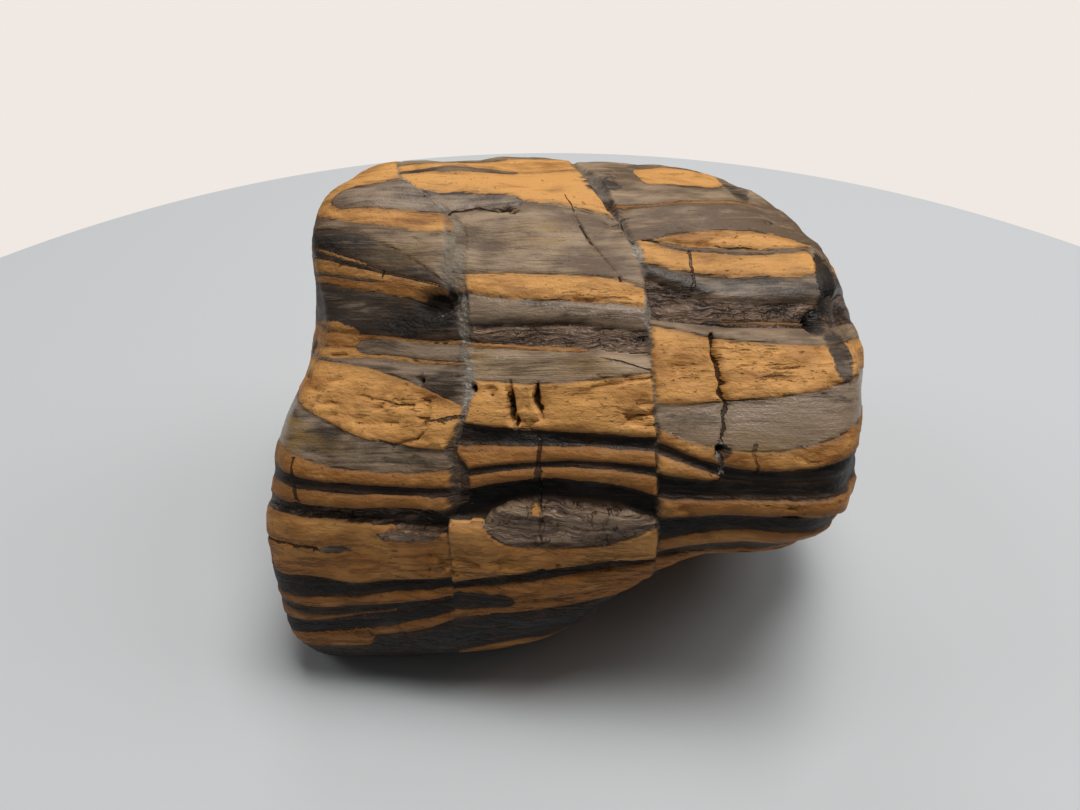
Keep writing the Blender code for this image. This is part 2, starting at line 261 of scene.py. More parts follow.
@dataclass(frozen=True)
class Slice:
    """The beds between two veins, and the x of the three stations where their depths are given."""

    name: str
    stations: tuple[float, float, float]
    beds: tuple[Bed, ...]

    def bases(self, x: np.ndarray) -> np.ndarray:
        """Lower faces of all beds above each place.

        Args:
            x: the places' x, in millimetres.

        Returns:
            One row of bed depths for each bed, never rising from one bed to the next.
        """
        left, _, right = self.stations
        share = np.clip((x - left) / (right - left), -0.15, 1.15)
        at_left = (1.0 - share) * (1.0 - 2.0 * share)
        at_middle = 4.0 * share * (1.0 - share)
        at_right = share * (2.0 * share - 1.0)
        rows = [b.base[0] * at_left + b.base[1] * at_middle + b.base[2] * at_right for b in self.beds]
        rows = np.maximum.accumulate(np.array(rows), axis=0)
        for number, bed in enumerate(self.beds):
            if bed.span != (-FAR, FAR):
                self.close_ends(rows, number, bed, x)
        return rows

    @staticmethod
    def close_ends(rows: np.ndarray, number: int, bed: Bed, x: np.ndarray) -> None:
        """Narrow one bed to nothing, with a rounded nose, where it stops inside the slice.

        Args:
            rows: the beds' lower faces, changed in place.
            number: which bed it is.
            bed: the bed.
            x: the places' x, in millimetres.
        """
        into = np.minimum(x - bed.span[0], bed.span[1] - x) / bed.nose
        width = np.sqrt(np.clip(1.0 - (1.0 - np.clip(into, 0.0, 1.0)) ** 2, 0.0, 1.0))
        top = rows[number - 1].copy()
        base = rows[number].copy()
        middle = (top + base) / 2.0
        rows[number - 1] = middle + (top - middle) * width
        rows[number] = middle + (base - middle) * width

    def locate(self, x: np.ndarray, depth: np.ndarray) -> tuple[np.ndarray, ...]:
        """Find the bed at each place.

        Args:
            x: the places' x, in millimetres.
            depth: their bed depths, in millimetres.

        Returns:
            The bed's number; how far through the bed the place is, from 0 to 1; the length over which that
            share runs; and the number of the next bed if it is closed up here, else NONE_CLOSED. The share
            runs evenly within BORDER_REACH of each face and is a half further in.
        """
        rows = self.bases(x)
        number = np.minimum((depth[None, :] > rows).sum(axis=0), len(self.beds) - 1)
        above = np.maximum(number - 1, 0)
        below = np.minimum(number + 1, len(self.beds) - 1)
        top = np.where(number > 0, of_bed(rows, above), ABOVE_ALL)
        base = of_bed(rows, number)
        reach = np.clip((base - top) / 2.0, 0.025, BORDER_REACH)
        from_top = np.clip((depth - top) / (2.0 * reach), 0.0, 0.5)
        from_base = np.clip((base - depth) / (2.0 * reach), 0.001, 0.5)
        shut = np.diff(rows, axis=0, prepend=ABOVE_ALL) < CLOSED_HEIGHT
        shut_above = of_bed(shut, above)
        shut_below = of_bed(shut, below) & (~shut_above | (from_base < from_top))
        closed = np.where(shut_below, below, np.where(shut_above, above, NONE_CLOSED))
        return number, from_top + 0.5 - from_base, 2.0 * reach, closed

    def worn_back(self, x: np.ndarray, depth: np.ndarray, soften: np.ndarray) -> np.ndarray:
        """How far the beds are worn back, with each ledge softened over a short step.

        Args:
            x: the places' x, in millimetres.
            depth: their bed depths, in millimetres.
            soften: half the length over which a ledge turns at each place, in millimetres.

        Returns:
            The recess at each place, in millimetres.
        """
        rows = self.bases(x)
        worn = np.array([bed.worn for bed in self.beds])
        taps = np.linspace(-1.0, 1.0, 7)
        total = np.zeros(len(x))
        for tap in taps:
            number = np.minimum((depth + tap * soften > rows).sum(axis=0), len(self.beds) - 1)
            total += worn[number]
        number, through, span, _ = self.locate(x, depth)
        crown = np.array([bed.crown for bed in self.beds])[number] * span / (2.0 * BORDER_REACH)
        return total / len(taps) - crown * (1.0 - (2.0 * through - 1.0) ** 2)


SLICES = (
    Slice("left", (-56.0, -40.0, -24.0), LEFT_BEDS),
    Slice("middle", (-18.0, -3.0, 12.0), MIDDLE_BEDS),
    Slice("right", (16.0, 31.0, 46.0), RIGHT_BEDS),
)


@dataclass(frozen=True)
class Vein:
    """An upright vein. Each point is bed depth, x, half-width, and how pale and how dark its fill is."""

    name: str
    points: tuple[tuple[float, float, float, float, float], ...]

    def gap(self, x: np.ndarray, depth: np.ndarray) -> tuple[np.ndarray, np.ndarray]:
        """Where places lie beside the vein.

        Args:
            x: the places' x, in millimetres.
            depth: their bed depths, in millimetres.

        Returns:
            The distance to the right of the vein's middle, and the distance outside its wall.
        """
        depths, places, halves, _, _ = zip(*self.points)
        off = x - np.interp(depth, depths, places)
        return off, np.abs(off) - np.interp(depth, depths, halves)

    def fill(self, depth: np.ndarray) -> tuple[np.ndarray, np.ndarray]:
        """How pale and how dark the vein's fill is at each bed depth."""
        depths, _, _, pale, dark = zip(*self.points)
        return np.interp(depth, depths, pale), np.interp(depth, depths, dark)


VEINS = (
    Vein("left vein", (
        (-50.0, -37.5, 0.30, 0.7, 0.0), (-45.0, -34.5, 0.30, 0.7, 0.0), (-41.1, -29.1, 0.40, 0.8, 0.0),
        (-38.4, -25.4, 0.50, 0.6, 0.0), (-36.0, -23.6, 1.60, 0.15, 0.0), (-33.4, -22.6, 2.40, 0.1, 0.0),
        (-29.9, -22.0, 2.00, 0.2, 0.0), (-25.0, -22.4, 2.40, 0.1, 0.1), (-21.0, -21.5, 2.00, 0.3, 0.7),
        (-17.6, -20.2, 1.10, 0.5, 0.4), (-13.6, -20.2, 0.80, 0.4, 0.3), (-10.4, -20.3, 1.00, 0.3, 0.0),
        (-8.7, -19.6, 1.20, 0.5, 0.0), (-4.8, -18.9, 1.10, 0.8, 0.0), (-1.3, -19.5, 0.80, 0.8, 0.1),
        (1.0, -20.0, 0.50, 0.5, 0.4), (3.0, -21.1, 0.70, 0.3, 0.7), (6.4, -22.4, 1.20, 0.1, 0.9),
        (9.4, -20.9, 1.80, 0.1, 0.8), (13.4, -20.9, 2.10, 0.15, 0.9), (16.4, -21.5, 1.60, 0.1, 0.9),
        (17.6, -22.5, 0.80, 0.1, 0.8), (19.0, -23.0, 0.20, 0.0, 0.6), (26.0, -23.0, 0.10, 0.0, 0.6),
        (60.0, -22.0, -0.40, 0.0, 0.5),
    )),
    Vein("right vein", (
        (-50.0, 1.3, 0.70, 0.0, 0.4), (-44.5, 4.4, 1.30, 0.0, 0.5), (-41.0, 6.2, 1.40, 0.1, 0.5),
        (-39.8, 6.8, 0.90, 0.0, 0.9), (-35.5, 9.3, 0.50, 0.2, 0.4), (-31.0, 10.7, 0.60, 0.4, 0.2),
        (-28.9, 11.6, 1.10, 1.0, 0.0), (-26.5, 12.2, 0.50, 0.3, 0.3), (-24.0, 12.6, 0.35, 0.1, 0.6),
        (-20.5, 12.9, 0.60, 0.5, 0.2), (-16.0, 13.0, 0.70, 0.5, 0.2), (-12.3, 13.0, 0.35, 0.1, 0.7),
        (-8.0, 12.9, 0.30, 0.0, 0.6), (-3.9, 13.2, 0.35, 0.4, 0.3), (-1.0, 13.3, 0.35, 0.4, 0.4),
        (3.1, 13.7, 0.30, 0.1, 0.9), (7.0, 13.7, 0.30, 0.1, 0.9), (12.0, 13.9, 0.30, 0.1, 0.9),
        (16.0, 14.3, 0.40, 0.1, 0.9), (19.0, 14.2, 0.45, 0.1, 0.7), (23.0, 14.4, 0.25, 0.0, 0.6),
        (28.0, 14.5, 0.10, 0.0, 0.6), (60.0, 14.5, -0.40, 0.0, 0.5),
    )),
)


@dataclass(frozen=True)
class Crack:
    """A crack across the beds: points (x, bed depth), half-width, depth, and how full of mineral it is."""

    name: str
    points: tuple[tuple[float, float], ...]
    half: float
    deep: float = 0.0
    filled: float = 0.0

    def distances(self, here: np.ndarray) -> Iterator[tuple[np.ndarray, np.ndarray]]:
        """Measure how far places are from each straight run of the crack in turn.

        Args:
            here: the places, one row of x and bed depth each.

        Yields:
            The distance, and the same with a sign for the side of the crack, but none past the run's ends.
        """
        for start, end in zip(self.points[:-1], self.points[1:]):
            run = np.subtract(end, start)
            rel = here - start
            share = (rel @ run) / (run @ run)
            held = np.clip(share, 0.0, 1.0)
            away = np.linalg.norm(rel - held[:, None] * run, axis=1)
            side = np.sign(rel[:, 0] * run[1] - rel[:, 1] * run[0])
            yield away, np.where(share == held, side * away, away)


CRACKS = (
    Crack("long crack, top", ((23.7, -14.4), (24.1, -12.8), (23.8, -11.6), (24.2, -10.4)), 0.26, 1.6),
    Crack("long crack", (
        (24.0, -11.2), (24.5, -9.6), (24.2, -8.0), (25.0, -6.4), (24.7, -4.6), (25.6, -3.0), (25.1, -1.4),
    ), 0.55, 2.6),
    Crack("long crack, low", ((25.2, -1.8), (24.8, -0.2), (24.7, 1.4), (24.1, 3.4)), 0.32, 1.8),
    Crack("long crack, foot", ((24.2, 3.4), (23.8, 5.8), (24.6, 8.8)), 0.5, 0.6, 0.7),
    Crack("right short crack", ((29.8, 3.9), (29.7, 5.6), (29.9, 8.2)), 0.20, 0.5),
    Crack("slanting crack", (
        (0.1, -35.8), (2.4, -32.2), (5.0, -28.3), (7.0, -25.1), (8.4, -23.1),
    ), 0.13, 0.4),
    Crack("slanting crack, upper", ((-1.6, -40.6), (-0.6, -38.4), (0.1, -36.4)), 0.10),
    Crack("vein wall crack", ((9.2, -35.6), (10.2, -32.6), (11.0, -30.6)), 0.16, 0.3),
    Crack("lobe slit", ((-35.5, 5.0), (-33.3, 5.9), (-30.0, 5.2), (-27.5, 3.6)), 0.18, 0.5),
    Crack("lobe slit, upper", ((-39.5, -2.6), (-35.6, -2.4), (-32.0, -1.3), (-29.0, -1.2)), 0.16, 0.4),
    Crack("level fill", ((-26.7, 1.6), (-23.3, 1.2), (-20.4, 0.8)), 0.42, 0.0, 0.3),
    Crack("left fill", ((-51.5, 8.4), (-51.4, 12.3), (-51.0, 14.4), (-50.4, 16.1)), 0.35, 0.0),
    Crack("foot thread", ((-60.0, 24.8), (-54.0, 25.2), (-48.0, 25.7)), 0.42, 0.4),
    Crack("foot crack, left", ((-57.4, 27.7), (-57.9, 30.5)), 0.12),
    Crack("foot crack, second", ((-49.3, 27.9), (-49.5, 29.4)), 0.12),
    Crack("foot crack, right", ((-26.6, 25.1), (-26.9, 30.9)), 0.15, 0.3),
    Crack("patchy bed crack", ((-4.7, -11.3), (1.8, -10.1), (7.8, -9.3), (12.9, -8.1)), 0.14),
    Crack("worn line, right", ((3.0, -4.6), (7.7, -5.9), (12.8, -6.8)), 0.18, 0.4),
    Crack("left slot", ((-11.7, -5.8), (-12.2, -3.4), (-11.6, -0.8), (-10.9, 2.2)), 0.16, 0.8),
    Crack("right slot", ((-6.6, -5.4), (-6.9, -3.0), (-6.2, 0.4)), 0.14, 0.8),
    Crack("ledge fill", (
        (-6.4, 4.1), (-6.4, 8.4), (-6.7, 11.0), (-6.5, 12.8), (-6.4, 15.6),
    ), 0.34, 0.3, 0.25),
    Crack("lens crack", ((-6.6, 15.6), (-6.0, 18.0), (-6.3, 21.0), (-5.6, 23.7)), 0.18, 0.4),
    Crack("crown crack", ((-25.0, -36.9), (-19.0, -38.0), (-14.0, -36.9), (-10.0, -37.2)), 0.16, 0.4),
    Crack("crown streak", ((-20.0, -29.9), (-18.2, -31.2), (-16.0, -31.8)), 0.16, 0.0, 1.0),
    Crack("parting crack", (
        (12.8, -31.6), (16.0, -31.6), (21.0, -30.9), (27.0, -29.9), (38.0, -29.6),
    ), 0.14, 0.5),
    Crack("ochre crack, left", ((-36.0, -26.0), (-35.8, -24.0), (-36.2, -21.6)), 0.12),
    Crack("upper fill", ((21.3, -29.3), (21.7, -25.9), (21.7, -21.9)), 0.28, 0.0, 0.35),
    Crack("shoulder crack", ((22.8, -46.0), (24.6, -43.9)), 0.10),
)


@dataclass(frozen=True)
class Oval:
    """An oval area of the upper side: its middle (x, bed depth) and half-sizes."""

    name: str
    x: float
    depth: float
    half_x: float
    half_depth: float

    def out(self, x: np.ndarray, depth: np.ndarray) -> np.ndarray:
        """How far out places are: 0 in the oval's middle and 1 on its edge."""
        return np.hypot((x - self.x) / self.half_x, (depth - self.depth) / self.half_depth)


@dataclass(frozen=True)
class Inclusion(Oval):
    """A rounded body of another finish, set in the beds."""

    finish: Finish
    tone: float


INCLUSIONS = (
    Inclusion("ochre lump", -48.2, -13.2, 8.4, 3.2, O, 0.5),
    Inclusion("lens chip", -7.2, 16.7, 0.9, 1.1, O, 0.5),
    Inclusion("crown smudge", 6.2, -42.9, 3.6, 1.3, G, 0.25),
    Inclusion("crown smudge, rear", 5.6, -44.8, 3.2, 0.7, G, 0.3),
    Inclusion("shoulder smudge", 34.0, -42.4, 2.2, 3.0, G, 0.35),
    Inclusion("edge mineral", 45.8, -10.4, 2.2, 4.4, G, 0.25),
    Inclusion("edge vein", 46.2, -23.5, 2.3, 5.6, D, 0.6),
    Inclusion("edge ochre", 51.0, -26.5, 1.8, 3.0, O, 0.5),
    Inclusion("foot lens", -44.6, 25.8, 3.4, 0.75, G, 0.2),
    Inclusion("ledge bulge", -30.2, 22.3, 5.2, 1.1, F, 0.7),
)


@dataclass(frozen=True)
class Patch(Oval):
    """A soft-edged patch where the stone is darker, tanner, more eroded or specked with pale quartz. Its
    darkness is dark staining in some patches and painted shade in hollows, cavities and holes in others.
    """

    dark: float = 0.0
    tan: float = 0.0
    eroded: float = 0.0
    pale: float = 0.0


PATCHES = (
    # The black hollow patches, the hollow grit, the crack mouth, the edge shades and the crown hole are
    # painted shade in hollows, cavities and holes.
    Patch("black hollow", -25.4, -18.4, 5.6, 3.6, dark=0.9),
    Patch("hollow grit", -25.6, -19.4, 4.6, 2.8, dark=1.0, eroded=0.8),
    Patch("black hollow, left", -31.0, -15.6, 6.5, 2.4, dark=0.7),
    Patch("wedge shade", -46.0, -30.4, 9.0, 1.8, dark=0.6),
    Patch("dark nick", -53.4, -11.2, 1.4, 1.6, dark=1.0),
    Patch("crack mouth", 24.4, 5.0, 1.5, 1.3, dark=1.0),
    Patch("edge shade", 43.4, -16.4, 2.4, 2.4, dark=0.9),
    Patch("edge shade, upper", 45.4, -20.6, 2.0, 2.6, dark=0.8),
    Patch("crown hole", 6.8, -39.8, 1.2, 0.9, dark=1.0),
    Patch("seam tan", -6.7, -32.0, 6.0, 2.6, tan=0.6),
    Patch("seam tan, left", -33.0, -29.0, 6.0, 3.6, tan=0.3),
    Patch("yellow patch", -17.0, -9.4, 2.4, 1.7, tan=1.0),
    Patch("lobe smear", -47.8, -1.6, 1.0, 2.8, dark=0.5),
    Patch("lobe smear, upper", -45.8, -3.8, 2.2, 0.9, dark=0.4),
    Patch("lobe yellow", -53.0, 4.0, 4.6, 4.2, tan=0.8),
    Patch("patchy bed tan", 3.0, -8.4, 9.0, 2.2, tan=0.35, pale=0.25),
    Patch("worn zone", 9.6, -1.0, 4.4, 1.6, eroded=1.0),
    Patch("worn zone, middle", 0.0, -3.6, 5.0, 1.2, eroded=0.8),
    Patch("worn zone, right", 8.2, -6.0, 5.4, 1.2, eroded=0.8),
    Patch("slot zone", -12.6, -1.8, 1.0, 4.0, eroded=0.8),
    # Painted shade on the floor of the slots.
    Patch("slot floor", -9.2, -1.4, 2.2, 3.8, dark=0.25),
    Patch("lobe worn zone", -32.0, -1.8, 8.0, 1.5, eroded=0.8),
    Patch("lobe worn zone, right", -28.8, 2.9, 2.8, 1.8, eroded=0.7),
    Patch("second ochre worn zone", 5.0, -21.0, 6.5, 1.2, eroded=0.8),
    Patch("right ochre worn zone", 18.6, -8.6, 4.6, 2.6, eroded=0.8),
    Patch("right ochre worn zone, outer", 34.0, -8.0, 8.0, 2.6, eroded=0.8),
    Patch("right ochre, brown top", 27.0, -11.8, 13.0, 1.6, dark=0.25, eroded=0.6),
    Patch("rib break", 18.4, -21.2, 4.6, 2.2, eroded=1.0, dark=0.3),
    Patch("vein shoulder", 8.6, -35.8, 3.2, 3.6, eroded=0.8),
    Patch("foot streaks", -22.0, 28.4, 6.5, 2.6, eroded=0.9, dark=0.3),
    Patch("foot streaks, right", -12.0, 28.0, 6.0, 2.0, eroded=0.6, dark=0.2),
    Patch("glossy bed, tan", 29.0, 4.0, 9.0, 1.8, tan=0.45),
    Patch("glossy bed, shade", 18.0, 0.4, 4.4, 2.6, dark=0.35),
    Patch("left glossy bed, shade", -30.0, 8.6, 7.5, 1.6, dark=0.45),
    Patch("left glossy bed, tan end", -44.0, 6.4, 5.0, 1.6, tan=0.35),
    Patch("quartz fleck", 11.6, -28.9, 1.1, 2.2, pale=0.8),
    Patch("quartz by the long crack", 24.3, 7.2, 1.6, 1.6, pale=0.6),
    Patch("quartz thread", -28.6, -11.0, 2.6, 0.5, pale=0.6),
    Patch("quartz by the pit", -28.4, -5.2, 1.2, 1.0, pale=0.6),
    Patch("quartz in the patchy bed", -13.1, -10.4, 1.4, 0.5, pale=0.8),
    Patch("quartz by the hollow", -20.6, -20.2, 1.5, 1.4, pale=0.8),
    Patch("quartz in the hollow", -24.2, -18.0, 2.4, 1.5, pale=0.5),
    Patch("quartz on the left ledge", -21.0, 17.0, 1.6, 1.2, pale=0.4),
)


@dataclass(frozen=True)
class Pit(Oval):
    """A rounded cavity."""

    deep: float


PITS = (
    Pit("vein cavity", -25.4, -19.7, 4.3, 2.6, 2.6),
    Pit("vein cavity, throat", -22.9, -21.2, 1.4, 1.2, 1.6),
    Pit("pit by the vein", -28.1, -5.8, 0.8, 0.7, 1.8),
    Pit("pit in the vein", -18.5, -4.7, 0.8, 0.9, 1.8),
    Pit("pit in the ochre", -14.8, -3.4, 0.4, 0.4, 0.8),
    Pit("crown notch, left", -13.0, -37.2, 1.5, 0.5, 1.4),
    Pit("crown notch, right", -10.9, -36.4, 1.2, 0.5, 1.4),
    Pit("left slot", -11.6, -1.9, 0.75, 3.6, 1.9),
    Pit("left slot, foot", -10.7, 1.0, 0.6, 1.6, 1.4),
    Pit("right slot", -6.7, -2.9, 0.65, 2.5, 1.7),
    Pit("slot hole", -6.2, -1.5, 0.5, 0.6, 1.2),
    Pit("crack mouth", 24.3, 4.9, 0.9, 0.7, 1.6),
    Pit("edge cavity", 43.0, -16.4, 2.1, 1.8, 3.2),
    Pit("edge cavity, upper", 46.4, -21.2, 1.1, 1.3, 1.8),
    Pit("back edge pit", 38.2, -34.9, 1.3, 0.5, 1.3),
)


def smooth_step(low: float, high: float, value: np.ndarray) -> np.ndarray:
    """0 below low, 1 above high, and a smooth rise between them."""
    share = np.clip((value - low) / (high - low), 0.0, 1.0)
    return share * share * (3.0 - 2.0 * share)


def lattice_noise(points: np.ndarray, seed: int) -> np.ndarray:
    """Smooth noise from -1 to 1 on a lattice of step 1.

    Each corner of the lattice gets its value by mixing its whole coordinates and the seed as bits.

    Args:
        points: the places, one row of three coordinates each.
        seed: which of many patterns it is.

    Returns:
        One value for each place.
    """
    cell = np.floor(points)
    part = points - cell
    part = part * part * (3.0 - 2.0 * part)
    cell = cell.astype(np.int64)
    total = np.zeros(len(points))
    for corner in range(8):
        step = np.array([corner & 1, (corner >> 1) & 1, (corner >> 2) & 1])
        at = cell + step
        mixed = at[:, 0] * 73856093 ^ at[:, 1] * 19349663 ^ at[:, 2] * 83492791 ^ (seed * 2654435761)
        mixed = (mixed ^ (mixed >> 13)) * 1274126177 & 0xFFFFFFFF
        mixed = (mixed ^ (mixed >> 16)) & 0xFFFFFF
        weight = np.prod(np.where(step == 1, part, 1.0 - part), axis=1)
        total += weight * (mixed / 8388607.5 - 1.0)
    return total


def direction(heading: float, rise: float) -> np.ndarray:
    """Unit vector for a heading and a rise in degrees."""
    turn = math.radians(heading)
    tilt = math.radians(rise)
    return np.array([math.sin(turn) * math.cos(tilt), -math.cos(turn) * math.cos(tilt), math.sin(tilt)])


@dataclass(frozen=True)
class WornBlock:
    """The smooth form of the stone: a block of soft-cornered worn faces with broad hollows and swells."""

    heart: tuple[float, float, float] = (0.0, 0.0, 40.0)
    crispness: float = 18.0
    base_cut: float = 1.0
    faces: tuple[tuple[float, float, float], ...] = (
        (170, 77, 48.6), (5, 68, 44.6), (350, 42, 46.0), (352, 10, 51.0), (5, -37, 55.5), (29, -35, 51.5),
        (268, 0, 60.3), (286, 10, 68.0), (314, -16, 84.5), (282, -42, 74.0), (255, 50, 69.0), (217, 66, 64.0),
        (235, 8, 63.0), (95, 2, 61.0), (72, 10, 62.5), (60, -3, 70.5), (85, -45, 57.0), (101, 48, 60.0),
        (120, 60, 62.5), (150, 68, 55.5), (140, 8, 61.0), (180, 2, 52.0), (185, 45, 58.0), (180, -40, 55.0),
        (0, -90, 40.0),
    )
    hollows: tuple[tuple[float, float, float, float, float], ...] = (
        (288, 28, 30.0, 21.0, 11.5), (30, -26, 20.0, 22.0, 14.5), (56, -38, 18.0, 14.0, 6.0),
        (26, -4, 8.5, 7.0, 3.2), (70, 30, 11.0, 6.0, 3.0),
    )
    swells: tuple[tuple[float, float], ...] = ((34.0, 0.7), (17.0, 0.35))

    def radius(self, rays: np.ndarray) -> np.ndarray:
        """Distance from the heart to the smooth skin along each ray."""
        total = np.zeros(len(rays))
        for heading, rise, distance in self.faces:
            facing = np.maximum(rays @ direction(heading, rise), 0.0)
            total += (facing / distance) ** self.crispness
        plain = total ** (-1.0 / self.crispness)
        radius = plain.copy()
        for heading, rise, across, up_down, deep in self.hollows:
            centre = direction(heading, rise)
            turn = math.radians(heading)
            side = np.array([math.cos(turn), math.sin(turn), 0.0])
            upward = np.cross(side, centre)
            away = ((rays @ side) * plain / across) ** 2 + ((rays @ upward) * plain / up_down) ** 2
            radius -= deep * smooth_step(0.0, 0.4, rays @ centre) * np.exp(-1.2 * away)
        return radius

    def swell(self, points: np.ndarray) -> np.ndarray:
        """Broad, shallow unevenness of the worn skin."""
        height = np.zeros(len(points))
        for number, (wavelength, size) in enumerate(self.swells):
            phase = points * (2.0 * math.pi / wavelength) + number
            height += size * np.sin(phase[:, 0]) * np.cos(phase[:, 1] + 0.7) * np.sin(phase[:, 2] + 1.9)
        return height


@dataclass(frozen=True)
class Bedding:
    """The lie of the beds: they dip to the back, and waver a little along their length."""

    dip: float = 30.0
    waver: tuple[tuple[float, float], ...] = ((12.0, 0.40), (5.0, 0.14))

    def coordinates(self, points: np.ndarray, heart: np.ndarray) -> np.ndarray:
        """Bedding coordinates of points: x, bed depth, and the way up the dip, in millimetres."""
        dip = math.radians(self.dip)
        rel = points - heart
        depth = -(rel[:, 1] * math.sin(dip) + rel[:, 2] * math.cos(dip))
        up_dip = rel[:, 2] * math.sin(dip) - rel[:, 1] * math.cos(dip)
        for number, (length, size) in enumerate(self.waver):
            at = np.column_stack([rel[:, 0] / length, depth / (length * 0.8), up_dip / length])
            depth = depth + size * lattice_noise(at, Seed.WAVER + number)
        return np.column_stack([rel[:, 0], depth, up_dip])


# Cracks, pits and patches lie on the side above the heart, and fade out between these places up the dip.
UPPER_SIDE = (-4.0, 4.0)
# Their edges wander in waves of these lengths and heights, and less across the beds than along them.
WANDER = ((2.6, 0.45), (1.1, 0.15))
WANDER_ACROSS = 0.7
# The relief of one slice gives way to the next between these offsets from the vein's middle.
SLICE_CHANGE = (-0.7, 0.7)
# Ledges are soft above the first of these bed depths and crisp below the second.
LEDGES_TURN = (-11.0, -3.0)
# Towards the stone's ends, between these distances from the heart, ledges lose most of their depth.
STONE_ENDS = (46.0, 54.0)
LOST_AT_ENDS = 0.65
# A vein is a shallow groove, deeper where its fill is dark, with lumps of rubble left in it.
VEIN_GROOVE = 0.35
DARK_VEIN_GROOVE = 0.8
RUBBLE_SIZE = 1.5
RUBBLE_HEIGHT = 0.35
# Cracks have sloping lips this wide, and get deeper and shallower every few millimetres.
CRACK_LIP = 0.45
CRACK_DEPTH_LENGTH = 2.4
# Grooves along the bedding are long, with shorter ones twice as close between them.
GROOVE_LENGTH = 14.0
FINE_GROOVE_LENGTH = 6.0
FINE_GROOVE_SHARE = 0.45
GRAIN_SIZE = 1.6
# Small level pits crowd in areas about 9 mm across.
PITTED_AREA = 9.0
PIT_LENGTHS = (3.0, 0.9, 3.0)
PIT_DEPTH = 0.6
# Eroded patches are rough with level cavities.
CAVITY_LENGTHS = (2.2, 1.1, 2.2)
CAVITY_DEPTH = 0.75


